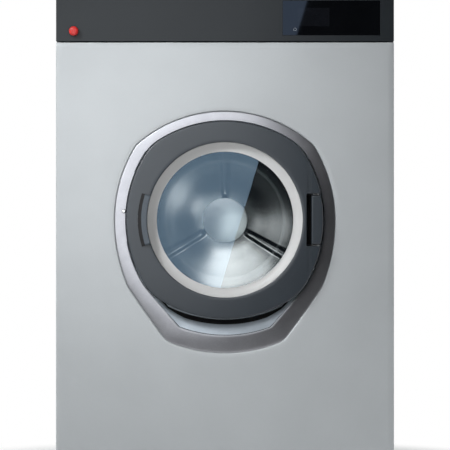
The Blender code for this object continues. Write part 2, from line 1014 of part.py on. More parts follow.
def top_cover():
    outline = rectangle(-side_plane, side_plane, panel_flange + panel_seam, rear_depth)
    opening = rectangle(
        -hopper_left - lid_margin,
        -hopper_right + lid_margin,
        hopper_front - lid_margin,
        lid_axis_back + lid_back_play,
    )
    place = Vector((0, front_plane, cabinet_height))
    tray("top_cover", outline, [opening], panel_flange, sheet, "cabinet paint", lid_view, place)


def control_fascia():
    low = seam_height + fascia_seam / 2 - cabinet_height
    outline = rectangle(-side_plane, side_plane, low, 0)
    window = rectangle(
        display_left - display_play,
        display_right + display_play,
        -display_bottom - display_play,
        -display_top + display_play,
    )
    hole = circle((-stop_x, -stop_drop), stop_sleeve_radius + hole_play, small_steps)
    place = Vector((0, front_plane, cabinet_height))
    tray("control_fascia", outline, [window, hole], panel_flange, sheet, "dark fascia", front_view, place)


def display():
    place = Vector((0, front_plane, cabinet_height))
    outline = rectangle(display_left, display_right, -display_bottom, -display_top)
    near = -display_proud
    bm = plate_mesh(outline, [], near, near + display_thickness, front_view)
    add_piece("display_glass", bm, "black glass", place)
    margin = module_margin
    outline = rectangle(
        display_left - margin, display_right + margin, -display_bottom - margin, -display_top + margin
    )
    front = near + display_thickness + touch
    bm = plate_mesh(outline, [], front, front + module_depth, front_view)
    add_piece("display_module", bm, "black plastic", place)


def inverter_box():
    right = side_plane - sheet - touch
    bm = box_mesh(
        inverter_left, right, inverter_front, inverter_front + inverter_depth,
        inverter_bottom, inverter_bottom + inverter_height,
    )
    piece = add_piece("inverter_box", bm, "grey plastic", floor_front)
    bevel = piece.modifiers.new("rounding", "BEVEL")
    bevel.width = inverter_round
    bevel.segments = 1


def emergency_stop():
    place = stop_empty.location
    back = sheet + touch
    collar = [
        (stop_bore, -stop_collar_proud),
        (stop_collar_radius - touch, -stop_collar_proud),
        (stop_collar_radius, -touch),
        (stop_sleeve_radius, -touch),
        (stop_sleeve_radius, back),
        (stop_housing_radius, back),
        (stop_housing_radius, stop_housing_end),
        (0, stop_housing_end),
        (0, stop_bore_end),
        (stop_bore, stop_bore_end),
    ]
    loop = collar[7::-1] + collar[:7:-1]
    bm = turned_mesh(loop, small_steps, closed=False)
    add_piece("estop_collar", bm, "black plastic", place)
    front = -stop_socket_depth + touch
    stem = [
        (0, front),
        (stop_stem_radius, front),
        (stop_stem_radius, stop_guide_start),
        (stop_guide_radius, stop_guide_start),
        (stop_guide_radius, stop_stem_end),
        (0, stop_stem_end),
    ]
    bm = turned_mesh(stem, small_steps, closed=False)
    add_piece("estop_stem", bm, "grey plastic", place, parent=stop_empty)
    socket = stop_stem_radius + touch
    cap = [
        (0, -stop_cap_front),
        (stop_cap_radius * cap_crown_shares[0], -stop_cap_front * cap_crown_shares[1]),
        (stop_cap_radius * cap_shoulder_share, -(stop_cap_front + stop_cap_edge) / 2),
        (stop_cap_radius, -stop_cap_edge),
        (stop_cap_radius, -stop_cap_back),
        (stop_neck_radius, -stop_cap_back),
        (stop_neck_radius, -stop_neck_end),
        (socket, -stop_neck_end),
        (socket, -stop_socket_depth),
        (0, -stop_socket_depth),
    ]
    bm = turned_mesh(cap, small_steps, closed=False)
    add_piece("estop_button", bm, "red plastic", place, parent=stop_empty)


def trim_ring():
    outline = moved(trim_outer_outline(), -trim_play, closed=True)
    bm = plate_mesh(outline, [trim_inner_outline()], trim_depth, trim_depth + trim_sheet, front_view)
    add_piece("trim_ring", bm, "stainless", door_centre)
    top = trim_depth - touch
    profile = [
        (0, top - stud_proud),
        (stud_radius * stud_crown_shares[0], top - stud_proud * stud_crown_shares[1]),
        (stud_radius, top - stud_proud / 2),
        (stud_radius, top),
        (0, top),
    ]
    bm = turned_mesh(profile, small_steps, closed=False)
    add_piece("latch_stud", bm, "steel", door_centre + Vector((-stud_x, 0, stud_z)))


# Recess behind the door, with a sloping scoop below it and the hole to the drum
def door_pan():
    bm = bmesh.new()
    near = trim_depth + trim_sheet + touch
    edge = moved(trim_outer_outline(), -pan_flange_play, closed=True)
    outer = new_loop(bm, edge, near, front_view)
    inner = new_loop(bm, trim_inner_outline(), near, front_view)
    floor = new_loop(bm, pan_floor_outline(), pan_floor_depth, front_view)
    bridge(bm, outer, inner)
    bridge(bm, inner, floor)
    round_hole = circle((0, 0), pan_hole_radius, door_steps)
    hole = new_loop(bm, round_hole, pan_floor_depth, front_view)
    slot_points = rectangle(-lock_slot_left, -lock_slot_right, -lock_slot_half, lock_slot_half)
    slot = new_loop(bm, slot_points, pan_floor_depth, front_view)
    fill(bm, floor, hole, slot)
    bridge(bm, hole, new_loop(bm, round_hole, pan_floor_depth + pan_lip, front_view))
    sheet_piece("door_pan", bm, pan_sheet, "stainless", front_view(0, 0, -1), door_centre)


def lock_housing():
    near = pan_floor_depth + pan_sheet + touch
    outline = rectangle(-lock_left, -lock_right, -lock_half, lock_half)
    bm = plate_mesh(outline, [], near, near + lock_depth, front_view)
    piece = add_piece("lock_housing", bm, "black plastic", door_centre)
    pocket = rectangle(-lock_slot_left, -lock_right - lock_wall, -lock_slot_half, lock_slot_half)
    bm = plate_mesh(pocket, [], near - overrun, near + lock_pocket, front_view)
    cut(piece, add_helper("lock_pocket", bm, door_centre))


# Fixed hinge block, whose right side follows the door's outline
def hinge_bracket():
    back = door_arc - door_reach + hinge_block_gap
    half_degrees = math.degrees(math.asin(hinge_block_half / door_arc))
    side = arc((-back, 0), door_arc, -half_degrees, half_degrees, 2 * edge_steps)
    outline = [(hinge_block_left, hinge_block_half), (hinge_block_left, -hinge_block_half), *side]
    far = pan_floor_depth - touch
    bm = plate_mesh(outline, [], -hinge_block_front, far, front_view)
    piece = add_piece("hinge_bracket", bm, "door plastic", door_centre)
    bevel = piece.modifiers.new("rounding", "BEVEL")
    bevel.width = hinge_block_round
    bevel.segments = 1
    bevel.limit_method = "ANGLE"
    bevel.angle_limit = math.radians(40)
    pin_place = Vector(hinge_empty.location)
    half = hinge_block_half + overrun
    bm = rod_mesh(hinge_pin_radius + touch, -half, half, small_steps)
    cut(piece, add_helper("pin_bore", bm, pin_place, upright))
    bm = rod_mesh(hinge_pin_radius, -hinge_pin_half, hinge_pin_half, small_steps)
    add_piece("hinge_pin", bm, "steel", pin_place, upright)


def door_cover():
    bm = bmesh.new()
    front = -door_proud
    outline = door_outline()
    round_hole = circle((0, 0), opening_radius, door_steps)
    outer = new_loop(bm, outline, front, front_view)
    hole = new_loop(bm, round_hole, front, front_view)
    fill(bm, outer, hole)
    bridge(bm, outer, new_loop(bm, outline, cover_skirt_end, front_view))
    bridge(bm, hole, new_loop(bm, round_hole, -frame_front - touch, front_view))
    piece = sheet_piece(
        "door_cover", bm, cover_wall, "door plastic", front_view(0, 0, -1), door_centre, hinge_empty
    )
    right = door_reach + overrun
    near = front - overrun
    far = cover_skirt_end + overrun
    bm = plate_mesh(
        rectangle(hinge_slot_left, right, -hinge_slot_half, hinge_slot_half), [], near, far, front_view
    )
    cut(piece, add_helper("hinge_slot", bm, door_centre, parent=hinge_empty))
    groove = rectangle(groove_left, groove_left + groove_width, -door_reach, door_reach)
    bm = plate_mesh(groove, [], near, front + groove_depth, front_view)
    cut(piece, add_helper("cover_groove", bm, door_centre, parent=hinge_empty))
    window = rectangle(
        -latch_neck_left - window_swing,
        -latch_neck_left + latch_arm + window_margin,
        -latch_arm_half - window_margin,
        latch_arm_half + window_margin,
    )
    bm = plate_mesh(window, [], near, front + cover_wall + overrun, front_view)
    cut(piece, add_helper("latch_window", bm, door_centre, parent=hinge_empty))
    for name, side in (("upper", 1), ("lower", -1)):
        low = handle_pin_half - handle_boss / 2
        ends = sorted((side * low, side * (low + handle_boss)))
        boss = rectangle(-handle_boss_left, -handle_boss_right, *ends)
        bm = plate_mesh(boss, [], front + cover_wall / 2, -handle_boss_back, front_view)
        join(piece, add_helper(name + "_handle_boss", bm, door_centre, parent=hinge_empty))
    half = handle_pin_half + handle_boss
    bm = rod_mesh(handle_pin_radius + touch, -half, half, hidden_steps)
    cut(piece, add_helper("handle_pin_bore", bm, handle_empty.location, upright, hinge_empty))


def door_frame():
    profile = [
        (frame_inner, -frame_front),
        (frame_outer, -frame_front),
        (frame_outer, frame_back),
        (frame_step_radius, frame_back),
        (frame_inner, frame_back - frame_step),
    ]
    piece = add_piece(
        "door_frame", turned_mesh(profile, door_steps), "cast aluminium", door_centre, parent=hinge_empty
    )
    eye = arc((hinge_x, -hinge_depth), hinge_eye_radius, -90, 90, 2 * edge_steps)
    outline = eye + [(hinge_ear_root, frame_back - overrun), (hinge_ear_root, -frame_front + overrun)]
    hole = circle((hinge_x, -hinge_depth), hinge_pin_radius + touch, small_steps)
    low = hinge_block_half + touch
    for name, start in (("upper", low), ("lower", -low - hinge_ear)):
        bm = plate_mesh(outline, [hole], start, start + hinge_ear, plan_view)
        join(piece, add_helper(name + "_hinge_ear", bm, door_centre, parent=hinge_empty))


def door_glass():
    tip_back = -funnel_tip + funnel_wall
    funnel = [
        (funnel_outer, -funnel_front),
        (funnel_inner, -funnel_tip),
        (funnel_inner, tip_back),
        (bowl_flange_radius + touch, tip_back),
        (bowl_flange_radius + touch, -frame_front - touch),
        (funnel_outer, -frame_front - touch),
    ]
    add_piece("glass_ring", turned_mesh(funnel, door_steps), "silver ring", door_centre, parent=hinge_empty)
    pane_front = tip_back + touch
    pane_back = pane_front + pane_thickness
    bm = rod_mesh(pane_radius, pane_front, pane_back, door_steps)
    add_piece("door_pane", bm, "glass", door_centre, parent=hinge_empty)
    flange_back = -frame_front - touch
    flange_front = flange_back - bowl_flange
    profile = bowl_line(0, flange_back)[::-1]
    profile += [(bowl_flange_radius, flange_back), (bowl_flange_radius, flange_front)]
    profile += bowl_line(bowl_wall, flange_front)
    bm = turned_mesh(profile, door_steps, closed=False)
    add_piece("door_glass", bm, "glass", door_centre, parent=hinge_empty)


# Side and bottom of the bowl glass, from its flange to the middle, at an inset from its outside
def bowl_line(inset, start):
    points = [(bowl_front_radius - inset, start)]
    for step in range(bowl_steps + 1):
        angle = math.radians(90 * step / bowl_steps)
        across_share = max(math.cos(angle), 0) ** bowl_square_share if step < bowl_steps else 0
        along_share = math.sin(angle) ** bowl_square_share
        along = bowl_depth - inset - bowl_crown + bowl_crown * along_share
        points.append(((bowl_back_radius - inset) * across_share, along))
    return points


# Curved pull with a grip edge towards the ring, and a latch arm that runs back through the cover
def door_handle():
    inner = opening_radius + touch
    half_degrees = math.degrees(math.asin(handle_half / handle_outer))
    front = -door_proud - handle_proud
    back = -door_proud - touch
    levels = [
        (handle_outer, back, 0),
        (handle_outer - handle_bevel, front, handle_front_inset),
        (inner + handle_front_inset, front, handle_front_inset),
        (inner, front + handle_front_inset, 0),
        (inner, back, 0),
    ]
    bm = bmesh.new()
    sections = []
    for step in range(handle_steps + 1):
        section = []
        for radius, depth, inset in levels:
            half = half_degrees - math.degrees(inset / radius)
            angle = math.radians(180 - half + 2 * half * step / handle_steps)
            point = (radius * math.cos(angle), depth, radius * math.sin(angle))
            section.append(bm.verts.new(point))
        sections.append(section)
    for first, second in zip(sections, sections[1:]):
        bridge(bm, first, second)
    bm.faces.new(sections[0])
    bm.faces.new(sections[-1])
    bmesh.ops.recalc_face_normals(bm, faces=bm.faces[:])
    piece = add_piece("door_handle", bm, "door plastic", door_centre, parent=handle_empty)
    neck = -latch_neck_left
    arm = -latch_arm_left
    outline = [
        (neck + latch_arm, back - overrun),
        (neck, back - overrun),
        (neck, -latch_jog_depth),
        (arm, -latch_jog_depth + latch_jog),
        (arm, latch_end - latch_nose_back),
        (arm - latch_nose, latch_end - latch_nose_back),
        (arm - latch_nose + latch_nose_lead, latch_end),
        (arm + latch_arm, latch_end),
        (arm + latch_arm, -latch_jog_depth + latch_jog),
        (neck + latch_arm, -latch_jog_depth),
    ]
    bm = plate_mesh(outline, [], -latch_arm_half, latch_arm_half, plan_view)
    join(piece, add_helper("latch_arm", bm, door_centre, parent=handle_empty))
    half = handle_pin_half + handle_pin_end
    bm = rod_mesh(handle_pin_radius, -half, half, hidden_steps)
    join(piece, add_helper("handle_pin", bm, handle_empty.location, upright, handle_empty))


def soap_hopper():
    top = cabinet_height - sheet - touch
    flange = hopper_flange
    bm = box_mesh(
        -hopper_left - lid_margin - flange, -hopper_right + lid_margin + flange,
        hopper_front - lid_margin - flange, hopper_back + hopper_wall,
        top - hopper_flange_thick, top,
    )
    piece = add_piece("soap_hopper", bm, "grey plastic", floor_front)
    bottom = top - hopper_deep
    bm = box_mesh(
        -hopper_left, -hopper_right, hopper_front, hopper_back, bottom, top - hopper_flange_thick / 2
    )
    join(piece, add_helper("hopper_body", bm, floor_front))
    spout = floor_front + Vector((-spout_x, spout_depth, bottom))
    bm = rod_mesh(spout_radius, -spout_length, overrun, hidden_steps)
    join(piece, add_helper("hopper_spout", bm, spout, upright))
    axis = lid_empty.location
    for name, side in (("left", -1), ("right", 1)):
        middle = lid_middle() + side * (lid_pin_half - lug_width / 2)
        bm = box_mesh(
            middle - lug_width / 2, middle + lug_width / 2, hopper_back, lug_back,
            cabinet_height - lug_bottom, cabinet_height - lid_axis_drop - touch,
        )
        join(piece, add_helper(name + "_lid_lug", bm, floor_front))
    left = -hopper_left + hopper_wall
    pockets = [hopper_small_pocket, hopper_small_pocket]
    pockets.append(-hopper_right - hopper_wall - left - 2 * (hopper_small_pocket + hopper_wall))
    for index, width in enumerate(pockets):
        bm = box_mesh(
            left, left + width, hopper_front + hopper_wall, hopper_back - hopper_wall,
            bottom + hopper_wall, top + overrun,
        )
        cut(piece, add_helper("soap_pocket_%d" % (index + 1), bm, floor_front))
        left += width + hopper_wall
    bm = rod_mesh(spout_bore, -spout_length - overrun, hopper_wall + overrun, hidden_steps)
    cut(piece, add_helper("spout_bore", bm, spout, upright))
    half = lid_pin_half + overrun
    bm = rod_mesh(lid_pin_radius + touch, -half, half, hidden_steps)
    cut(piece, add_helper("lid_pin_groove", bm, axis + Vector((lid_middle(), 0, 0)), across_axis))


def lid_middle():
    return -(hopper_left + hopper_right) / 2


def hopper_lid():
    bm = box_mesh(
        -hopper_left - lid_margin + lid_play, -hopper_right + lid_margin - lid_play,
        hopper_front - lid_margin + lid_play, lid_axis_back,
        cabinet_height - sheet, cabinet_height,
    )
    piece = add_piece("hopper_lid", bm, "cabinet paint", floor_front, parent=lid_empty)
    place = lid_empty.location + Vector((lid_middle(), 0, 0))
    bm = rod_mesh(lid_knuckle_radius, -lid_knuckle_half, lid_knuckle_half, hidden_steps)
    join(piece, add_helper("lid_knuckle", bm, place, across_axis, lid_empty))
    bm = rod_mesh(lid_pin_radius, -lid_pin_half, lid_pin_half, hidden_steps)
    join(piece, add_helper("lid_pin", bm, place, across_axis, lid_empty))


def rear_services():
    inside = rear_depth - sheet - touch
    height = cabinet_height - valve_drop
    bm = box_mesh(
        valve_x - valve_width / 2, valve_x + valve_width / 2, inside - valve_deep, inside,
        height - valve_tall / 2, height + valve_tall / 2,
    )
    piece = add_piece("inlet_valve", bm, "grey plastic", floor_front)
    for name, side in (("cold", -1), ("hot", 1)):
        place = floor_front + Vector((valve_x + side * nozzle_spacing / 2, 0, height))
        bm = rod_mesh(nozzle_radius, inside - overrun, rear_depth + nozzle_reach, rod_steps)
        join(piece, add_helper(name + "_nozzle", bm, place))
        bm = rod_mesh(nozzle_bore, inside, rear_depth + nozzle_reach + overrun, rod_steps)
        cut(piece, add_helper(name + "_bore", bm, place))
    bore = drain_radius - drain_wall
    profile = [
        (bore, inside - drain_inner_reach),
        (drain_radius, inside - drain_inner_reach),
        (drain_radius, inside - drain_flange),
        (drain_flange_radius, inside - drain_flange),
        (drain_flange_radius, inside),
        (drain_radius, inside),
        (drain_radius, rear_depth + rear_reach),
        (bore, rear_depth + rear_reach),
    ]
    place = floor_front + Vector((-drain_x, 0, drain_z))
    add_piece("drain_outlet", turned_mesh(profile, small_steps), "grey plastic", place)
    outside = rear_depth + touch
    profile = [
        (gland_bore, inside - gland_inside),
        (gland_radius, inside - gland_inside),
        (gland_radius, inside),
        (gland_thread, inside),
        (gland_thread, outside),
        (gland_radius, outside),
        (gland_radius, outside + gland_reach * gland_nut_share),
        (gland_thread, outside + gland_reach),
        (gland_bore, outside + gland_reach),
    ]
    place = floor_front + Vector((-gland_x, 0, cabinet_height - gland_drop))
    add_piece("cable_gland", turned_mesh(profile, rod_steps), "black plastic", place)


def tub():
    front_edge = tub_front + tub_wall + touch
    shell = wall([(tub_radius, front_edge), (tub_radius, tub_back), (shaft_hole, tub_back)], tub_wall)
    shell[4:] = [(tub_outer, tub_back + tub_wall), (tub_outer, front_edge)]
    bm = turned_mesh(shell, tub_steps)
    piece = add_piece("tub_shell", bm, "stainless", door_centre, parent=tub_empty)
    neck_place = door_centre + Vector((-spout_x, spout_depth, 0))
    low = math.sqrt(tub_radius ** 2 - (spout_x + spout_radius) ** 2) - spout_radius / 2
    bm = rod_mesh(spout_radius, low, fill_neck_top, hidden_steps)
    join(piece, add_helper("fill_neck", bm, neck_place, upright, tub_empty))
    half = spout_radius + overrun
    inner = rod_mesh(tub_radius - touch, spout_depth - half, spout_depth + half, tub_steps)
    cut(piece, add_helper("neck_end", inner, door_centre, parent=tub_empty))
    bm = rod_mesh(spout_bore, low - spout_radius, fill_neck_top + overrun, hidden_steps)
    cut(piece, add_helper("fill_bore", bm, neck_place, upright, tub_empty))
    drain_place = door_centre + Vector((0, valve_centre_depth, 0))
    bm = rod_mesh(drain_hole, -tub_outer - overrun, -tub_radius + drain_hole, small_steps)
    cut(piece, add_helper("drain_hole", bm, drain_place, upright, tub_empty))
    for index, degrees in enumerate((heater_leg_angles()[0], heater_leg_angles()[-1])):
        angle = math.radians(degrees)
        place = door_centre + Vector((heater_radius * math.cos(angle), 0, heater_radius * math.sin(angle)))
        ends = (tub_back - overrun, tub_back + tub_wall + overrun)
        bm = rod_mesh(heater_rod + 2 * touch, *ends, hidden_steps)
        cut(piece, add_helper("heater_hole_%d" % (index + 1), bm, place, parent=tub_empty))
    neck_outer = neck_radius + tub_wall
    front = [
        (neck_radius, neck_front),
        (neck_outer, neck_front),
        (neck_outer, tub_front - neck_curve),
        (neck_outer + neck_curve, tub_front),
        (tub_outer + tub_lip, tub_front),
        (tub_outer + tub_lip, tub_front + tub_wall),
        (neck_radius + neck_curve, tub_front + tub_wall),
        (neck_radius, tub_front - neck_curve),
    ]
    add_piece("tub_front", turned_mesh(front, tub_steps), "stainless", door_centre, parent=tub_empty)


def heater_leg_angles():
    return [-90 + heater_leg_degrees * share for share in heater_leg_shares]


# One bent rod: in through the tub's back, forward, back, forward and out again
def heating_element():
    points = []
    angles = [math.radians(degrees) for degrees in heater_leg_angles()]
    turns = [heater_end, heater_front, heater_turn, heater_front, heater_end]
    for index, angle in enumerate(angles):
        ahead = 1 if turns[index] > turns[index + 1] else -1
        start_gap = heater_bend if index else 0
        end_gap = heater_bend if index < len(angles) - 1 else 0
        ends = (turns[index] - ahead * start_gap, turns[index + 1] + ahead * end_gap)
        for end in ends:
            points.append((heater_radius * math.cos(angle), end, heater_radius * math.sin(angle)))
        if index < len(angles) - 1:
            middle = (angle + angles[index + 1]) / 2
            span = (angles[index + 1] - angle) * heater_radius / 2
            for share in heater_bend_shares:
                swing = middle + share * span / heater_radius
                bulge = math.sqrt(1 - share * share) * end_gap
                along = ends[1] - ahead * bulge
                points.append((heater_radius * math.cos(swing), along, heater_radius * math.sin(swing)))
    tube_along("heating_element", points, heater_rod, "steel", door_centre, tub_empty)


def tube_along(name, points, radius, finish, place, parent=None):
    curve = bpy.data.curves.new(name, "CURVE")
    curve.dimensions = "3D"
    curve.bevel_depth = radius
    curve.bevel_resolution = 1
    curve.use_fill_caps = True
    spline = curve.splines.new("POLY")
    spline.points.add(len(points) - 1)
    for target, point in zip(spline.points, points):
        target.co = Vector(point).to_4d()
    piece = bpy.data.objects.new(name, curve)
    curve.materials.append(finish_of(finish))
    bpy.context.scene.collection.objects.link(piece)
    piece.location = place
    if parent:
        piece.parent = parent
        piece.location = Vector(place) - parent.location
    return piece


def bearings():
    start = tub_back + tub_wall + touch
    bore = bearing_radius + touch
    front_end = front_bearing_start + bearing_width + touch
    rear_start = rear_bearing_start - touch
    housing = [
        (bore, start),
        (housing_flange_radius, start),
        (housing_flange_radius, start + housing_flange),
        (housing_cone_radius, start + 2 * housing_flange),
        (housing_hub_radius, housing_end),
        (bore, housing_end),
        (bore, rear_start),
        (bearing_web_radius, rear_start),
        (bearing_web_radius, front_end),
        (bore, front_end),
    ]
    add_piece(
        "bearing_housing", turned_mesh(housing, hub_steps), "cast iron", door_centre, parent=tub_empty
    )
    inner = shaft_radius + touch
    rings = [
        ("front_bearing", bearing_radius, front_bearing_start, front_bearing_start + bearing_width),
        ("rear_bearing", bearing_radius, rear_bearing_start, rear_bearing_start + bearing_width),
        ("shaft_seal", seal_radius, seal_start, start - touch),
    ]
    for name, outer, near, far in rings:
        finish = "rubber" if name == "shaft_seal" else "steel"
        bm = tube_mesh(inner, outer, near, far, hub_steps)
        add_piece(name, bm, finish, door_centre, parent=tub_empty)


def suspension():
    rail = (-rail_half, rail_half, rail_front, rail_back, rail_bottom, rail_top())
    left_place = floor_front + Vector((-strut_x, 0, 0))
    cradle = add_piece("suspension_cradle", box_mesh(*rail), "cast iron", left_place, parent=tub_empty)
    right_place = floor_front + Vector((strut_x, 0, 0))
    join(cradle, add_helper("right_rail", box_mesh(*rail), right_place, parent=tub_empty))
    radius = tub_outer + touch
    low = rail_bottom + saddle_drop - door_height
    step_degrees = 360 // tub_steps
    bow_steps = 2 * saddle_half_degrees // step_degrees
    bow = arc((0, 0), radius, -90 + saddle_half_degrees, -90 - saddle_half_degrees, bow_steps)
    high = bow[0][1]
    outline = [(-saddle_half, low), (saddle_half, low), (saddle_half, high), *bow, (-saddle_half, high)]
    for name, depth in (("front_saddle", saddle_front), ("back_saddle", saddle_back)):
        bm = plate_mesh(outline, [], depth, depth + saddle_thick, front_view)
        join(cradle, add_helper(name, bm, door_centre, parent=tub_empty))
    plate_low = rail_bottom + motor_plate_rise
    plate_high = plate_low + motor_plate
    bm = box_mesh(-strut_x, strut_x, motor_plate_front, rail_back - overrun, plate_low, plate_high)
    join(cradle, add_helper("motor_plate", bm, floor_front, parent=tub_empty))
    for name, (across, depth) in zip(strut_names, strut_places):
        place = floor_front + Vector((across, depth, 0))
        bm = rod_mesh(rod_radius, rod_bottom, rail_bottom + overrun, hidden_steps)
        join(cradle, add_helper("damper_rod_" + name, bm, place, upright, tub_empty))
        bm = tube_mesh(spring_inner, spring_outer, base_top + touch, rail_bottom - touch, hidden_steps)
        add_piece("spring_" + name, bm, "steel", place, upright)
    low_degrees, high_degrees = ballast_degrees
    steps = (high_degrees - low_degrees) // step_degrees
    outline = arc((0, 0), radius, high_degrees, low_degrees, steps)
    outline += arc((0, 0), radius + ballast_thick, low_degrees, high_degrees, steps)
    bm = plate_mesh(outline, [], ballast_front, ballast_back, front_view)
    add_piece("ballast", bm, "cast iron", door_centre, parent=tub_empty)


def rail_top():
    return rail_bottom + rail_height


def drain_valve():
    top = -tub_outer - valve_body_top
    low = top - valve_body_height
    profile = [
        (0, low),
        (valve_body_radius, low),
        (valve_body_radius, top),
        (drain_hole - drain_neck_play, top + drain_hole / 4),
        (drain_hole - drain_neck_play, -tub_outer + drain_neck_play),
        (drain_hole - drain_neck_play - drain_wall, -tub_outer + drain_neck_play),
        (drain_hole - drain_neck_play - drain_wall, top),
        (0, top),
    ]
    place = door_centre + Vector((0, valve_centre_depth, 0))
    bm = turned_mesh(profile, small_steps, closed=False)
    piece = add_piece("drain_valve", bm, "grey plastic", place, upright, tub_empty)
    outlet = place + Vector((0, 0, top - valve_outlet_drop + valve_outlet_radius / 2))
    bm = rod_mesh(valve_outlet_radius, -valve_outlet_reach, 0, small_steps)
    join(piece, add_helper("valve_outlet", bm, outlet, across_axis, tub_empty))


def hoses():
    back = pan_floor_depth + pan_sheet + touch
    neck = neck_radius + tub_wall + touch
    path = [
        (gasket_flange_radius, back),
        (gasket_inner, back),
        (gasket_fold, back + gasket_step),
        (gasket_inner, back + 3 * gasket_step),
        (neck, neck_front - gasket_wall),
        (neck, neck_front + gasket_grip),
    ]
    add_piece(
        "door_gasket", turned_mesh(wall(path, gasket_wall), tub_steps), "rubber", door_centre
    )
    low = door_height + fill_neck_top - hose_overlap
    high = cabinet_height - sheet - touch - hopper_deep - spout_length + hose_overlap
    inner = spout_radius + touch
    path = [(inner, low), (inner, low + hose_overlap)]
    pitch = (high - low - 2 * hose_overlap) / (2 * hose_folds)
    for fold in range(1, 2 * hose_folds):
        path.append((inner + hose_fold * (fold % 2), low + hose_overlap + pitch * fold))
    path += [(inner, high - hose_overlap), (inner, high)]
    place = floor_front + Vector((-spout_x, spout_depth, 0))
    add_piece("fill_hose", turned_mesh(wall(path, hose_wall), hidden_steps), "rubber", place, upright)
    outlet = door_height - tub_outer - valve_body_top - valve_outlet_drop + valve_outlet_radius / 2
    start = Vector((-valve_outlet_reach - touch, valve_centre_depth, outlet))
    end = Vector((-drain_x, rear_depth - sheet - 2 * touch - drain_inner_reach, drain_z))
    points = [start]
    for step in range(drain_hose_steps + 1):
        share = step / drain_hose_steps
        first = start + Vector((-drain_hose_radius - drain_hose_pull * share, 0, 0))
        last = end + Vector((0, -drain_hose_radius - drain_hose_pull * (1 - share), 0))
        ease = share * share * (3 - 2 * share)
        points.append(first.lerp(last, ease))
    points.append(end)
    tube_along("drain_hose", points, drain_hose_radius, "rubber", floor_front)


# Motor body under the tub, its rotor, and the ribbed belt to the drum pulley
def drive():
    place = motor_empty.location
    profile = [
        (0, motor_front),
        (motor_end_radius, motor_front),
        (motor_radius, motor_front + motor_end_bell),
        (motor_radius, motor_back - motor_end_bell),
        (motor_end_radius, motor_back),
        (motor_shaft_radius + motor_shaft_play, motor_back),
        (motor_shaft_radius + motor_shaft_play, motor_bore_end),
        (0, motor_bore_end),
    ]
    bm = turned_mesh(profile, small_steps, closed=False)
    piece = add_piece("motor", bm, "cast aluminium", place, parent=tub_empty)
    top = rail_bottom + motor_plate_rise - touch - motor_height
    bm = box_mesh(
        -motor_foot_half, motor_foot_half, motor_front + motor_foot_inset + motor_end_bell,
        motor_back - motor_foot_inset, motor_radius / 2, top,
    )
    join(piece, add_helper("motor_foot", bm, place, parent=tub_empty))
    profile = [
        (0, motor_shaft_start),
        (motor_shaft_radius, motor_shaft_start),
        (motor_shaft_radius, pulley_front),
        (motor_pulley_radius, pulley_front),
        (motor_pulley_radius, pulley_back),
        (0, pulley_back),
    ]
    bm = turned_mesh(profile, small_steps, closed=False)
    add_piece("motor_pulley", bm, "steel", place, parent=motor_empty)
    belt_near = pulley_front + belt_edge
    belt_far = pulley_back - belt_edge
    inner = belt_loop(belt_play)
    outer = belt_loop(belt_play + belt_thickness)
    bm = plate_mesh(outer, [inner], belt_near, belt_far, front_view)
    add_piece("drive_belt", bm, "rubber", door_centre, parent=tub_empty)


# Line round both pulleys at a height over their rims
def belt_loop(over):
    large = pulley_radius + over
    small = motor_pulley_radius + over
    centre = Vector((motor_x, -pulley_drop))
    lean = math.degrees(math.asin((large - small) / centre.length))
    toward = math.degrees(math.atan2(centre.y, centre.x))
    start = toward + 90 - lean
    end = toward + 270 + lean
    points = arc((0, 0), large, start, end, belt_steps)
    points += arc(centre, small, end - 360, start, belt_steps // 3)
    return points


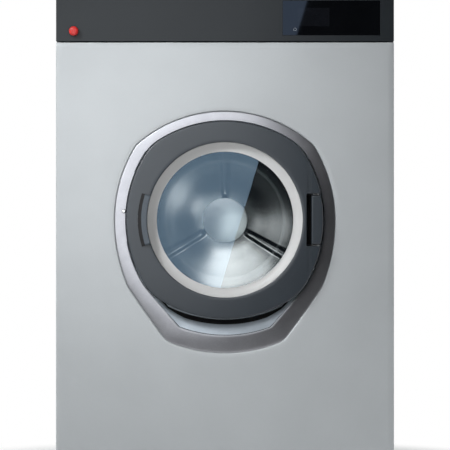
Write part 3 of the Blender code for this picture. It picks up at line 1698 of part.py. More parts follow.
def drum():
    inner = drum_radius - drum_wall
    line = [
        (drum_mouth + drum_mouth_roll, drum_front + drum_mouth_roll),
        (drum_mouth, drum_front + drum_mouth_roll / 2),
        (drum_mouth + drum_mouth_roll, drum_front),
        (drum_radius - drum_shoulder, drum_front),
        (drum_radius, drum_front + drum_shoulder),
        (drum_radius, drum_back),
    ]
    bm = turned_mesh(wall(line, -drum_wall), drum_steps)
    shell = add_piece("drum_shell", bm, "stainless", door_centre, parent=drum_empty)
    middle = (inner + drum_radius) / 2
    crest = drum_radius - lifter_height
    for index, degrees in enumerate(lifter_degrees):
        half = lifter_half_degrees
        outline = [drum_point(middle, degrees + turn) for turn in (-half, 0, half)]
        tip = math.degrees(lifter_crest / crest)
        outline += arc((0, 0), crest, degrees + tip, degrees - tip, 2)
        bm = plate_mesh(outline, [], lifter_front, lifter_back, front_view)
        join(shell, add_helper("lifter_%d" % (index + 1), bm, door_centre, parent=drum_empty))
    drum_back_wall()
    hub = [
        (0, hub_cap_front),
        (hub_cap_radius / 2, hub_cap_front + hub_cap_crown / 4),
        (hub_cap_radius - hub_cap_edge, hub_cap_front + hub_cap_crown),
        (hub_cap_radius, hub_cap_front + hub_cap_crown + hub_cap_edge),
        (hub_cap_radius, back_hub_front - touch),
        (0, back_hub_front - touch),
    ]
    bm = turned_mesh(hub, hub_steps, closed=False)
    add_piece("hub_cap", bm, "stainless", door_centre, parent=drum_empty)
    profile = [
        (0, shaft_start),
        (shaft_radius, shaft_start),
        (shaft_radius, shaft_end),
        (0, shaft_end),
    ]
    bm = turned_mesh(profile, hub_steps, closed=False)
    add_piece("drum_shaft", bm, "steel", door_centre, parent=drum_empty)
    drum_spider()
    bore = shaft_radius + touch
    web_near = (pulley_front + pulley_back - pulley_web) / 2
    web_far = web_near + pulley_web
    rim = pulley_radius - pulley_rim
    profile = [
        (bore, pulley_hub_front),
        (pulley_hub_radius, pulley_hub_front),
        (pulley_hub_radius, web_near),
        (rim, web_near),
        (rim, pulley_front),
        (pulley_radius, pulley_front),
        (pulley_radius, pulley_back),
        (rim, pulley_back),
        (rim, web_far),
        (pulley_hub_radius, web_far),
        (pulley_hub_radius, pulley_hub_back),
        (bore, pulley_hub_back),
    ]
    add_piece("drum_pulley", turned_mesh(profile, hub_steps), "cast iron", door_centre, parent=drum_empty)


# Depth of the drum's back wall at a radius and an angle: a dish with three pressed ribs
def back_depth(radius, degrees):
    rim = drum_radius - drum_wall - touch
    rise = min(max((rim - radius) / (rim - back_hub_radius), 0), 1)
    edge = drum_back - back_rim_flange
    depth = edge + (back_hub_front - edge) * rise ** back_dish_share
    along = (radius - rib_start) / (rib_end - rib_start)
    if 0 <= along <= 1:
        width = rib_inner_width + (rib_outer_width - rib_inner_width) * along
        for middle in lifter_degrees:
            offset = math.radians(abs((degrees - middle + 180) % 360 - 180)) * radius
            if offset < width:
                depth -= rib_height * math.cos(math.pi / 2 * offset / width)
    return depth


# A point at an angle on the drum's flats, whose corners lie at a radius
def drum_point(radius, degrees):
    step = 360 / drum_steps
    share = math.cos(math.radians(step / 2)) / math.cos(math.radians(degrees % step - step / 2))
    angle = math.radians(degrees)
    return (radius * share * math.cos(angle), radius * share * math.sin(angle))


def drum_back_wall():
    rim = drum_radius - drum_wall - touch
    radii = [back_hub_radius, rib_start, rib_end, rim]
    angles = [360 * step // drum_steps for step in range(drum_steps)]
    angles += [middle + side * rib_edge_degrees for middle in lifter_degrees for side in (-1, 1)]
    bm = bmesh.new()
    rings = []
    for radius in radii:
        ring = []
        for degrees in sorted(angles):
            across, up = drum_point(radius, degrees)
            ring.append(bm.verts.new((across, back_depth(radius, degrees), up)))
        rings.append(ring)
    bm.faces.new(rings[0])
    for first, second in zip(rings, rings[1:]):
        bridge(bm, first, second)
    last = [bm.verts.new((vert.co.x, vert.co.y + back_rim_flange, vert.co.z)) for vert in rings[-1]]
    bridge(bm, rings[-1], last)
    sheet_piece("drum_back", bm, back_sheet, "stainless", front_view(0, 0, -1), door_centre, drum_empty)


def drum_spider():
    outline = []
    for degrees in lifter_degrees:
        angle = math.radians(degrees)
        along = Vector((math.cos(angle), math.sin(angle)))
        side = Vector((-along.y, along.x))
        root = math.sqrt(spider_hub ** 2 - spider_arm_inner ** 2)
        for reach, width in (
            (root, -spider_arm_inner),
            (spider_reach, -spider_arm_outer),
            (spider_reach, spider_arm_outer),
            (root, spider_arm_inner),
        ):
            outline.append(tuple(along * reach + side * width))
        between = angle + math.pi / 3
        outline.append((spider_hub * math.cos(between), spider_hub * math.sin(between)))
    hole = circle((0, 0), shaft_radius + touch, hub_steps)
    bm = plate_mesh(outline, [hole], spider_front, spider_back, front_view)
    add_piece("drum_spider", bm, "cast aluminium", door_centre, parent=drum_empty)


def main():
    base_frame()
    feet()
    front_panel()
    side_panels()
    rear_panel()
    top_cover()
    control_fascia()
    display()
    inverter_box()
    emergency_stop()
    trim_ring()
    door_pan()
    lock_housing()
    hinge_bracket()
    door_cover()
    door_frame()
    door_glass()
    door_handle()
    soap_hopper()
    hopper_lid()
    rear_services()
    tub()
    heating_element()
    bearings()
    suspension()
    drain_valve()
    hoses()
    drive()
    drum()


main()
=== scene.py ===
import bisect
import math

import bmesh
import bpy
from mathutils import Matrix, Vector


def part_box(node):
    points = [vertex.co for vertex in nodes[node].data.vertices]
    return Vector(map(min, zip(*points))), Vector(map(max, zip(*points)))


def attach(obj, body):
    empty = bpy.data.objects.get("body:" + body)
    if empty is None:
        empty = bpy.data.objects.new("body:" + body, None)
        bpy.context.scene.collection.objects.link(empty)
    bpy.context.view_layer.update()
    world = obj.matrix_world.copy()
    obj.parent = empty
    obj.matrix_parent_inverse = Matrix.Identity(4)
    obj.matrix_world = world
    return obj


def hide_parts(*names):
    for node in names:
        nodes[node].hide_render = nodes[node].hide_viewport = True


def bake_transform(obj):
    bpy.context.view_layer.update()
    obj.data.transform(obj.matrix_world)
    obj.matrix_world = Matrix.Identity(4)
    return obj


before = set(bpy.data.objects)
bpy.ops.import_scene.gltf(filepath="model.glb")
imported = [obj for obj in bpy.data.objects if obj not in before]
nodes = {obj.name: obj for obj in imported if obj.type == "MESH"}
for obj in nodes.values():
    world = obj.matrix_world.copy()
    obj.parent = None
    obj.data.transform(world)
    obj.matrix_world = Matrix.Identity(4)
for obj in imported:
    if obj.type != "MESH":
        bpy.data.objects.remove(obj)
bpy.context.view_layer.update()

frontY = -0.3835        # the cabinet's front plane
rearY = 0.4065          # outside of the rear panel
doorZ = 0.7387          # height of the door's centre
halfWidth = 0.485
cabinetTop = 1.410
cornerNames = ("front_left", "front_right", "rear_left", "rear_right")
print("frame loaded,", len(nodes), "nodes")


# Small helpers
def linearColour(hexCode):
    shares = [int(hexCode[i:i + 2], 16) / 255 for i in (1, 3, 5)]
    return tuple(v / 12.92 if v <= 0.04045 else ((v + 0.055) / 1.055) ** 2.4 for v in shares) + (1.0,)


def newObject(name, data):
    made = bpy.data.objects.new(name, data)
    bpy.context.scene.collection.objects.link(made)
    return made


# An input is given a value, or a socket to link from
def setInputs(tree, node, inputs):
    for key, value in inputs.items():
        if isinstance(value, bpy.types.NodeSocket):
            tree.links.new(value, node.inputs[key])
        else:
            node.inputs[key].default_value = value


def addNode(tree, kind, inputs=None, **settings):
    node = tree.nodes.new(kind)
    for name, value in settings.items():
        setattr(node, name, value)
    setInputs(tree, node, inputs or {})
    return node


def outOf(tree, kind, inputs=None, **settings):
    return addNode(tree, kind, inputs, **settings).outputs[0]


def mathNode(tree, operation, first, second=None):
    return outOf(tree, "ShaderNodeMath", {0: first} if second is None else {0: first, 1: second},
                 operation=operation)


def vectorNode(tree, x=0.0, y=0.0, z=0.0):
    return outOf(tree, "ShaderNodeCombineXYZ", {0: x, 1: y, 2: z})


def rangeNode(tree, value, fromRange=(0, 1), toRange=(0, 1), kind="LINEAR"):
    return outOf(tree, "ShaderNodeMapRange", {
        "Value": value, "From Min": fromRange[0], "From Max": fromRange[1], "To Min": toRange[0],
        "To Max": toRange[1],
    }, interpolation_type=kind)


# A new material, its tree, its shader and the object's own coordinates
def newMaterial(name):
    material = bpy.data.materials.new(name)
    material.use_nodes = True
    tree = material.node_tree
    place = addNode(tree, "ShaderNodeTexCoord").outputs["Object"]
    return material, tree, tree.nodes["Principled BSDF"], place


# Ends a material in a mix of two shaders
def mixSurface(tree, share, first, second):
    mix = outOf(tree, "ShaderNodeMixShader", {0: share, 1: first, 2: second})
    setInputs(tree, tree.nodes["Material Output"], {"Surface": mix})


# Two shades, a fine grain that can be drawn out along an axis, and larger soft patches.
# Sizes are in millimetres on the real thing
def surfaceMaterial(name, shades, roughness, metallic=0.0, grain=1.0, stretch=(1, 1, 1), relief=0.0,
                    patch=60.0, specular=0.5):
    material, tree, shader, place = newMaterial(name)
    drawn = outOf(tree, "ShaderNodeMapping", {"Vector": place, "Scale": stretch})
    fine = outOf(tree, "ShaderNodeTexNoise", {"Vector": drawn, "Scale": 1000 / grain, "Detail": 3.0})
    soft = outOf(tree, "ShaderNodeTexNoise", {"Vector": place, "Scale": 1000 / patch, "Detail": 2.0})
    both = mathNode(tree, "MULTIPLY", fine, soft)
    share = rangeNode(tree, both, (0.12, 0.40))
    colour = addNode(tree, "ShaderNodeMix", {
        0: share, 6: linearColour(shades[0]), 7: linearColour(shades[1]),
    }, data_type="RGBA").outputs[2]
    rough = rangeNode(tree, fine, (0.3, 0.7), roughness)
    setInputs(tree, shader, {
        "Base Color": colour, "Roughness": rough, "Metallic": metallic, "Specular IOR Level": specular,
    })
    if relief:
        bump = outOf(tree, "ShaderNodeBump", {"Height": fine, "Distance": relief / 1000})
        setInputs(tree, shader, {"Normal": bump})
    return material


def arcPoints(centre, radius, start, end, steps):
    points = []
    for step in range(steps + 1):
        angle = math.radians(start + (end - start) * step / steps)
        points.append((centre[0] + radius * math.cos(angle), centre[1] + radius * math.sin(angle)))
    return points


def angleOf(vector):
    return math.degrees(math.atan2(vector.y, vector.x))


# One side of an outline: its outermost point lies at a reach from the centre. It may change radius there
def arcSide(degrees, reach, radius, secondRadius=None):
    outward = Vector((math.cos(math.radians(degrees)), math.sin(math.radians(degrees))))
    last = radius if secondRadius is None else secondRadius
    return (outward * (reach - radius), radius), (outward * (reach - last), last), degrees


def cornerCentre(first, second, corner):
    (c1, r1), (c2, r2) = first, second
    r1, r2 = r1 - corner, r2 - corner
    between = c2 - c1
    along = (between.length_squared + r1 * r1 - r2 * r2) / (2 * between.length)
    height = math.sqrt(r1 * r1 - along * along)
    unit = between.normalized()
    centres = [c1 + unit * along + Vector((-unit.y, unit.x)) * height * sign for sign in (1, -1)]
    return max(centres, key=lambda centre: (centre - c1).cross(centre - c2))


# A closed line round the door: the sides' wide arcs, with a tight one in each corner between them
def arcOutline(sides, corners, steps=40):
    count = len(sides)
    centres = [cornerCentre(sides[i][1], sides[(i + 1) % count][0], corners[i]) for i in range(count)]
    points = []
    for i, (first, last, middle) in enumerate(sides):
        low = middle + (angleOf(centres[i - 1] - first[0]) - middle + 180) % 360 - 180
        high = low + (angleOf(centres[i] - last[0]) - low) % 360
        middle = middle if low < middle < high else (low + high) / 2
        points += arcPoints(*first, low, middle, steps)
        points += arcPoints(*last, middle, high, steps)[1:]
        turn = angleOf(centres[i] - sides[(i + 1) % count][0][0])
        while turn < high:
            turn += 360
        points += arcPoints(centres[i], corners[i], high, turn, steps // 2)[1:-1]
    return points


# An outline as distances from the door's centre, by angle
def reachTable(points):
    polar = sorted((math.atan2(y, x) % math.tau, x, y) for x, y in points)
    first, last = polar[0], polar[-1]
    polar = [(last[0] - math.tau, *last[1:])] + polar + [(first[0] + math.tau, *first[1:])]
    return [p[0] for p in polar], polar


def reachAt(table, angle):
    if isinstance(table, float):
        return table
    angles, polar = table
    i = min(max(bisect.bisect_right(angles, angle), 1), len(polar) - 1)
    first, last = Vector(polar[i - 1][1:]), Vector(polar[i][1:])
    ray = Vector((math.cos(angle), math.sin(angle)))
    bottom = ray.cross(last - first)
    return first.length if abs(bottom) < 1e-12 else first.cross(last - first) / bottom


outlineSizes = {
    "doorReach": 0.2821, "doorArc": 0.350, "doorCorner": 0.120, "doorGap": 0.0036,
    "trimSide": (0.3166, 0.499, 0.402), "trimTop": (0.3117, 0.382), "trimFlank": (0.3380, 2.4),
    "trimBottom": (0.3823, 0.422), "trimFlankDegrees": 33, "trimCorner": 0.060,
    "scoopFlank": (0.2980, 2.4), "scoopBottom": (0.3315, 0.375), "scoopFlankDegrees": 38,
    "scoopShoulder": 0.030, "scoopCorner": 0.012,
    "floorFlank": (0.2840, 2.4), "floorBottom": (0.2870, 0.375), "floorInset": 0.002,
    "angles": 720,
}


def recessOutline(side, top, flank, bottom, flankDegrees, corners):
    reach, low, high = side
    sides = [
        arcSide(0, reach, low, high), arcSide(90, *top), arcSide(180, reach, high, low),
        arcSide(180 + flankDegrees, *flank), arcSide(270, *bottom), arcSide(360 - flankDegrees, *flank),
    ]
    upper, shoulder, lower = corners
    return arcOutline(sides, [upper, upper, shoulder, lower, lower, shoulder])


def doorOutline():
    s = outlineSizes
    return arcOutline([arcSide(turn, s["doorReach"], s["doorArc"]) for turn in (0, 90, 180, 270)],
                      [s["doorCorner"]] * 4)


def trimOutline():
    s = outlineSizes
    return recessOutline(s["trimSide"], s["trimTop"], s["trimFlank"], s["trimBottom"],
                         s["trimFlankDegrees"], [s["trimCorner"]] * 3)


def scoopOutline(inset, flank, bottom):
    s = outlineSizes
    reach, radius = s["doorReach"] + s["doorGap"] - inset, s["doorArc"] + s["doorGap"] - inset
    return recessOutline((reach, radius, radius), (reach, radius), s[flank], s[bottom],
                         s["scoopFlankDegrees"], [s["doorCorner"], s["scoopShoulder"], s["scoopCorner"]])


doorShape = reachTable(doorOutline())
trimShape = reachTable(trimOutline())
scoopShape = reachTable(scoopOutline(0.0, "scoopFlank", "scoopBottom"))
floorShape = reachTable(scoopOutline(outlineSizes["floorInset"], "floorFlank", "floorBottom"))
evenAngles = [math.tau * i / outlineSizes["angles"] for i in range(outlineSizes["angles"])]


# A closed loop round the door's centre: an outline moved outwards, or part of the way to a second one
def loopAt(shape, offset, depth, angles=evenAngles, toward=None, share=0.0):
    points = []
    for angle in angles:
        reach = reachAt(shape, angle)
        if toward is not None:
            reach += (reachAt(toward, angle) - reach) * share
        reach += offset
        points.append((reach * math.cos(angle), frontY + depth, doorZ + reach * math.sin(angle)))
    return points


def rowPairs(rows, closed):
    return list(zip(rows, rows[1:])) + ([(rows[-1], rows[0])] if closed else [])


# Skins a list of closed loops. The last is joined to the first, or both are filled
def loftLoops(loops, closed=True, bm=None):
    if bm is None:
        bm = bmesh.new()
    rows = [[bm.verts.new(point) for point in loop] for loop in loops]
    for first, second in rowPairs(rows, closed):
        for i in range(len(first)):
            j = (i + 1) % len(first)
            bm.faces.new((first[i], first[j], second[j], second[i]))
    if not closed:
        bm.faces.new(rows[0])
        bm.faces.new(rows[-1])
    return bm


def shiftMesh(bm, shift):
    bmesh.ops.translate(bm, verts=bm.verts[:], vec=shift)


def easeShare(value):
    value = min(max(value, 0.0), 1.0)
    return value * value * (3 - 2 * value)


# Rounds the corners of a profile by a small radius
def rounded(profile, radius, steps=4, closed=False):
    result = []
    count = len(profile)
    for i, point in enumerate(profile):
        if not closed and i in (0, count - 1):
            result.append(point)
            continue
        here = Vector(point)
        before, after = Vector(profile[i - 1]) - here, Vector(profile[(i + 1) % count]) - here
        reach = min(radius, before.length * 0.45, after.length * 0.45)
        first, last = here + before.normalized() * reach, here + after.normalized() * reach
        for step in range(steps + 1):
            t = step / steps
            result.append(tuple(first * (1 - t) ** 2 + here * 2 * t * (1 - t) + last * t * t))
    return result


# Turned shape about a line along Y through a place. The profile is (radius, along)
def turnedMesh(profile, steps, place, rotation=None, closed=False):
    bm = bmesh.new()
    rows = []
    for radius, along in profile:
        if radius < 1e-6:
            rows.append([bm.verts.new((0, along, 0))])
            continue
        turns = [math.tau * i / steps for i in range(steps)]
        rows.append([bm.verts.new((radius * math.cos(a), along, radius * math.sin(a))) for a in turns])
    for first, second in rowPairs(rows, closed):
        if len(first) == 1 and len(second) == 1:
            continue
        for i in range(steps):
            j = (i + 1) % steps
            corners = (first[i % len(first)], first[j % len(first)], second[j % len(second)],
                       second[i % len(second)])
            bm.faces.new(list(dict.fromkeys(corners)))
    if rotation:
        bmesh.ops.rotate(bm, verts=bm.verts[:], matrix=rotation)
    shiftMesh(bm, place)
    return bm


doorCentre = Vector((0, frontY, doorZ))
upright = Matrix.Rotation(math.radians(90), 3, "X")
acrossX = Matrix.Rotation(-math.radians(90), 3, "Z")


def boxMesh(low, high, rounding=0.0, segments=3):
    bm = bmesh.new()
    bmesh.ops.create_cube(bm, size=1)
    middle, size = (Vector(low) + Vector(high)) / 2, Vector(high) - Vector(low)
    bmesh.ops.scale(bm, verts=bm.verts[:], vec=size)
    shiftMesh(bm, middle)
    if rounding:
        bmesh.ops.bevel(bm, geom=bm.edges[:], offset=rounding, segments=segments, affect="EDGES", profile=0.5)
    return bm


# A box whose middle is at the door's height, with depths behind the front plane
def doorBox(left, right, near, far, half, rounding=0.0, segments=3):
    return boxMesh((left, frontY + near, doorZ - half), (right, frontY + far, doorZ + half), rounding,
                   segments)


# A node's box: its middle seen from above, its lower and upper height, and half its width
def standingBox(name):
    low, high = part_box(name)
    return (low[0] + high[0]) / 2, (low[1] + high[1]) / 2, low[2], high[2], (high[0] - low[0]) / 2


# Lets the large faces rule the shading, so that a flat one beside a rounded edge stays flat
def weighNormals(piece):
    modifier = piece.modifiers.new("weighNormals", "WEIGHTED_NORMAL")
    modifier.keep_sharp = True
    modifier.weight = 100


def smoothMesh(mesh, sharp):
    mesh.shade_smooth()
    mesh.set_sharp_from_angle(angle=math.radians(sharp))


def placePiece(piece, body, replaced):
    if body:
        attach(piece, body)
    if replaced:
        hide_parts(replaced)


# Puts a finished mesh in the scene, riding on its body and standing for its node
def addPiece(name, bm, material, body, replaced=(), slot=None, sharp=35, tidy=True, flat=False):
    if tidy:
        bmesh.ops.remove_doubles(bm, verts=bm.verts[:], dist=1e-6)
        bmesh.ops.recalc_face_normals(bm, faces=bm.faces[:])
    mesh = bpy.data.meshes.new(name)
    bm.to_mesh(mesh)
    bm.free()
    smoothMesh(mesh, sharp)
    piece = newObject(name, mesh)
    mesh.materials.append(material)
    if flat:
        weighNormals(piece)
    placePiece(piece, body, replaced)
    return piece


def turnPiece(name, profile, steps, place, material, body, replaced, rotation=None, closed=False, **more):
    bm = turnedMesh(profile, steps, place, rotation, closed)
    return addPiece(name, bm, material, body, replaced, **{"sharp": 50, **more})


# Each row has an outline, an offset and a depth, and maybe a second outline with a share of the way to it
def loftPiece(name, rows, material, body, replaced=(), angles=evenAngles, **more):
    loops = [loopAt(*row[:3], angles, *row[3:]) for row in rows]
    return addPiece(name, loftLoops(loops), material, body, replaced, **{"sharp": 50, **more})


# Replaces an object's mesh by what its modifiers make of it
def freeze(piece, sharp=35):
    bpy.context.view_layer.update()
    graph = bpy.context.evaluated_depsgraph_get()
    made = bpy.data.meshes.new_from_object(piece.evaluated_get(graph), depsgraph=graph)
    if piece.type == "MESH":
        piece.modifiers.clear()
        piece.data = made
    smoothMesh(made, sharp)
    return made


# Cuts other meshes out of a piece, and keeps the result as a plain mesh
def carve(piece, cutters):
    helpers = []
    for index, bm in enumerate(cutters):
        bmesh.ops.recalc_face_normals(bm, faces=bm.faces[:])
        mesh = bpy.data.meshes.new("cutter")
        bm.to_mesh(mesh)
        bm.free()
        helper = newObject("cutter%d" % index, mesh)
        modifier = piece.modifiers.new("cut", "BOOLEAN")
        modifier.operation = "DIFFERENCE"
        modifier.solver = "EXACT"
        modifier.object = helper
        helpers.append(helper)
    freeze(piece)
    for helper in helpers:
        bpy.data.objects.remove(helper)


# A CAD node's mesh with its vertices merged
def nodeMesh(node):
    bm = bmesh.new()
    bm.from_mesh(nodes[node].data)
    bmesh.ops.remove_doubles(bm, verts=bm.verts[:], dist=2e-5)
    return bm


# A copy of a CAD node with its sharp edges rounded
def roundedCopy(name, node, material, body, rounding):
    bm = nodeMesh(node)
    bmesh.ops.dissolve_limit(bm, verts=bm.verts[:], edges=bm.edges[:], angle_limit=math.radians(1))
    edges = [e for e in bm.edges if len(e.link_faces) == 2 and e.calc_face_angle(0) > math.radians(40)]
    bmesh.ops.bevel(bm, geom=edges, offset=rounding, segments=2, affect="EDGES", profile=0.5,
                    clamp_overlap=True)
    return addPiece(name, bm, material, body, node, tidy=False, flat=True)


def dress(material, *names):
    for name in names:
        nodes[name].data.materials.clear()
        nodes[name].data.materials.append(material)


# Materials of the cabinet, the door and the inner works
# Powder coat with aluminium flake on steel sheet: soft silver, faint orange peel
silverCoat = surfaceMaterial("powderCoatSilver", ("#B3B7B9", "#B8BCBE"), (0.38, 0.46), metallic=0.15,
                             grain=1.6, relief=0.001, patch=140)
# Graphite lacquer on the fascia's sheet: dark, satin, very even
graphiteLacquer = surfaceMaterial("graphiteLacquer", ("#191E22", "#1D2226"), (0.36, 0.44), metallic=0.0,
                                  grain=1.2, relief=0.002, patch=160, specular=0.30)
# Moulded ABS of the door cover: fine spark eroded grain, so a broad dull sheen
graphiteAbs = surfaceMaterial("mouldedAbsGraphite", ("#182129", "#1D262E"), (0.38, 0.46), grain=0.9,
                              relief=0.003, patch=90, specular=0.7)
# The same plastic, tooled smoother where a hand rubs it
gripAbs = surfaceMaterial("gripAbsGraphite", ("#364049", "#3B454E"), (0.26, 0.34), grain=0.9, relief=0.002,
                          patch=40)
# Silver filled ABS of the funnel ring: pale and matt
silverAbs = surfaceMaterial("mouldedAbsSilver", ("#C6C6C5", "#CCCCCB"), (0.42, 0.50), grain=0.8,
                            relief=0.001, patch=70)
# Bead blasted pressure casting: dull grey with fine pits
castAluminium = surfaceMaterial("castAluminium", ("#8E9092", "#9EA0A2"), (0.45, 0.60), metallic=1.0,
                                grain=1.5, relief=0.03, patch=40)
# Grey cast iron under primer: rough and dark
castIron = surfaceMaterial("castIronPrimed", ("#3A3C3E", "#46484A"), (0.55, 0.75), metallic=0.3, grain=2.5,
                           relief=0.08, patch=50)
# Zinc plated steel: cool grey with cloudy patches
zincPlate = surfaceMaterial("zincPlate", ("#8C9296", "#A4AAAE"), (0.35, 0.55), metallic=0.9, grain=6.0,
                            relief=0.01, patch=30)
# Ground bearing steel: fine lines and a bright face
groundSteel = surfaceMaterial("groundSteel", ("#9A9C9E", "#B0B2B4"), (0.22, 0.34), metallic=1.0, grain=0.8,
                              stretch=(1, 8, 1), relief=0.004, patch=60)
# Polished stainless rod: near mirror
polishedSteel = surfaceMaterial("polishedStainless", ("#C4C6C8", "#CED0D2"), (0.08, 0.14), metallic=1.0,
                                grain=1.0, patch=30)
# Injection moulded polypropylene, mid grey and slightly waxy
greyPolypropylene = surfaceMaterial("polypropyleneGrey", ("#7E8082", "#868889"), (0.42, 0.55), grain=1.2,
                                    relief=0.01, patch=50)
# Moulded nylon, black and satin
blackNylon = surfaceMaterial("nylonBlack", ("#17181A", "#1E1F21"), (0.38, 0.52), grain=1.0, relief=0.012,
                             patch=40)
# Signal red polycarbonate of the stop cap, glossy
redPolycarbonate = surfaceMaterial("polycarbonateRed", ("#C81E1A", "#D22822"), (0.22, 0.30), grain=1.2,
                                   patch=20)
# EPDM rubber, matt with a faint bloom
blackRubber = surfaceMaterial("epdmRubberBlack", ("#1B1B1C", "#262627"), (0.62, 0.82), grain=1.4, relief=0.02,
                              patch=25, specular=0.3)
greyRubber = surfaceMaterial("epdmRubberGrey", ("#58595A", "#646566"), (0.60, 0.78), grain=1.4, relief=0.02,
                             patch=25, specular=0.3)
# Screen printed glass over the display, and the smoked window in it
displayBlack = surfaceMaterial("screenPrintedGlass", ("#060607", "#090A0B"), (0.03, 0.05), grain=2.0,
                               patch=50)
screenGlass = surfaceMaterial("smokedScreenWindow", ("#101114", "#131418"), (0.03, 0.05), grain=2.0, patch=50)
for glassPrint in (displayBlack, screenGlass):
    shader = glassPrint.node_tree.nodes["Principled BSDF"]
    shader.inputs["Specular Tint"].default_value = linearColour("#9FB6D8")
# Printed grey ink of the power symbol
printedInk = surfaceMaterial("printedInkGrey", ("#8E949A", "#979DA3"), (0.5, 0.6), grain=1.0, patch=10)
# Stainless sheet in five finishes: brushed trim, blasted pan, rolled tub, polished drum, satin hub
trimSteel = surfaceMaterial("brushedStainlessTrim", ("#9C9DA2", "#A6A7AC"), (0.29, 0.32), metallic=1.0,
                            grain=3.0, stretch=(0.5, 1, 1.6), patch=40)
panSteel = surfaceMaterial("blastedStainlessPan", ("#B0BAC3", "#BAC4CD"), (0.36, 0.44), metallic=0.2,
                           grain=3.0, stretch=(0.3, 1, 2.0), patch=30)
tubSteel = surfaceMaterial("rolledStainlessTub", ("#A6A8AA", "#B2B4B6"), (0.30, 0.42), metallic=1.0,
                           grain=3.0, stretch=(0.4, 1.6, 1), relief=0.01, patch=40)
drumSteel = surfaceMaterial("polishedStainlessDrum", ("#787A7C", "#7C7E80"), (0.25, 0.27), metallic=1.0,
                            grain=2.0, stretch=(1, 0.3, 1), patch=60)
hubSteel = surfaceMaterial("satinStainlessHub", ("#B2B5B9", "#BCBFC3"), (0.30, 0.36), metallic=1.0,
                           grain=4.0, stretch=(1, 0.5, 1), patch=40)
holeShade = surfaceMaterial("drumHoleShade", ("#0C0D0E", "#121314"), (0.5, 0.6), grain=1.0, patch=10)


def wavyNormal(tree, place, scale, height):
    wave = outOf(tree, "ShaderNodeTexNoise", {"Vector": place, "Scale": scale, "Detail": 1.0})
    return outOf(tree, "ShaderNodeBump", {"Height": wave, "Distance": height})


# Toughened glass. Lamps reach through it, so that the drum is lit
def clearGlass(name, hexCode, ior, mirrorHex):
    material, tree, shader, place = newMaterial(name)
    setInputs(tree, shader, {
        "Normal": wavyNormal(tree, place, 6.0, 0.00005), "Base Color": linearColour(hexCode),
        "Transmission Weight": 1.0, "IOR": ior, "Roughness": 0.0, "Specular Tint": linearColour(mirrorHex),
    })
    path = addNode(tree, "ShaderNodeLightPath").outputs["Is Shadow Ray"]
    mixSurface(tree, path, shader.outputs[0], outOf(tree, "ShaderNodeBsdfTransparent"))
    return material


# Thin pressed glass: what lies behind is seen straight through it, with a faint sheen where it turns away
def thinGlass(name, hexCode, sheen):
    material, tree, shader, place = newMaterial(name)
    normal = wavyNormal(tree, place, 9.0, 0.0001)
    edge = outOf(tree, "ShaderNodeFresnel", {"IOR": 1.25, "Normal": normal})
    clear = outOf(tree, "ShaderNodeBsdfTransparent", {"Color": linearColour(hexCode)})
    gloss = outOf(tree, "ShaderNodeBsdfAnisotropic", {"Roughness": 0.02})
    mixSurface(tree, mathNode(tree, "MULTIPLY", edge, sheen), clear, gloss)
    tree.nodes.remove(shader)
    return material


paneGlass = clearGlass("floatGlassPane", "#F6FAFB", 1.60, "#A8CCEC")
bowlGlass = thinGlass("pressedGlassBowl", "#FAFCFC", 0.07)
print("materials made:", len(bpy.data.materials))

# Camera, lamps, floor and cards
stageSizes = {
    "cameraDistance": 8.0, "cameraHeight": 0.7241, "pictureWidth": 1.2915, "sensor": 36.0,
    "floorReach": 14.0, "floorColour": "#F4F4F4", "fadeStart": 0.70, "fadeEnd": 1.05, "diffuseSky": 0.15,
    "softboxSize": (1.05, 1.40), "softboxNear": 0.95, "softboxLean": 16.8, "softboxGlow": 1.6,
    "softboxEdge": (0.072, 0.81), "softboxRise": 0.20,
    "lampAim": (0.0, frontY, 0.80), "lampTint": (0.97, 0.985, 1.0),
    "upperSpread": 64, "flagGlow": 0.05, "flagNear": 1.25, "flagReach": (3.6, 3.2), "flagPlace": (0.75, 0.95),
    "lamps": {
        "frontKey": ((-0.04, frontY - 1.60, 0.90), (0.45, 0.60), 4.3),
        "upperKey": ((-2.00, frontY - 2.60, 2.74), (0.90, 0.90), 3.9),
        "rightLamp": ((3.2, 0.5, 1.5), (1.6, 1.6), 3.4),
        "leftLamp": ((-3.2, 0.5, 1.5), (1.6, 1.6), 3.4),
        "rearLamp": ((0.6, 3.6, 2.6), (1.6, 1.6), 5.1),
    },
    "drumLampDepth": 0.165,
    "drumLamps": ((-92, 0.29, 0.20, 4.6), (-62, 0.29, 0.20, 3.6), (-8, 0.27, 0.14, 1.7),
                  (152, 0.23, 0.13, 2.0)),
}


# 1 for what the camera sees, also by way of metal and glass, and 0 for light that falls on the object
def seenShare(tree):
    path = addNode(tree, "ShaderNodeLightPath").outputs
    either = mathNode(tree, "MAXIMUM", path["Is Camera Ray"], path["Is Glossy Ray"])
    return mathNode(tree, "MAXIMUM", either, path["Is Transmission Ray"])


def makeStage():
    s = stageSizes
    scene = bpy.context.scene
    lens = bpy.data.cameras.new("photoLens")
    lens.sensor_width = s["sensor"]
    lens.lens = s["sensor"] * s["cameraDistance"] / s["pictureWidth"]
    lens.clip_end = 60
    camera = newObject("photoCamera", lens)
    camera.location = (0, frontY - s["cameraDistance"], s["cameraHeight"])
    camera.rotation_euler = (math.radians(90), 0, 0)
    scene.camera = camera
    scene.view_settings.view_transform = "Standard"

    world = bpy.data.worlds.new("paleRoom")
    scene.world = world
    world.use_nodes = True
    tree = world.node_tree
    strength = rangeNode(tree, seenShare(tree), toRange=(s["diffuseSky"], 1))
    setInputs(tree, tree.nodes["Background"], {"Strength": strength, "Color": (1, 1, 1, 1)})


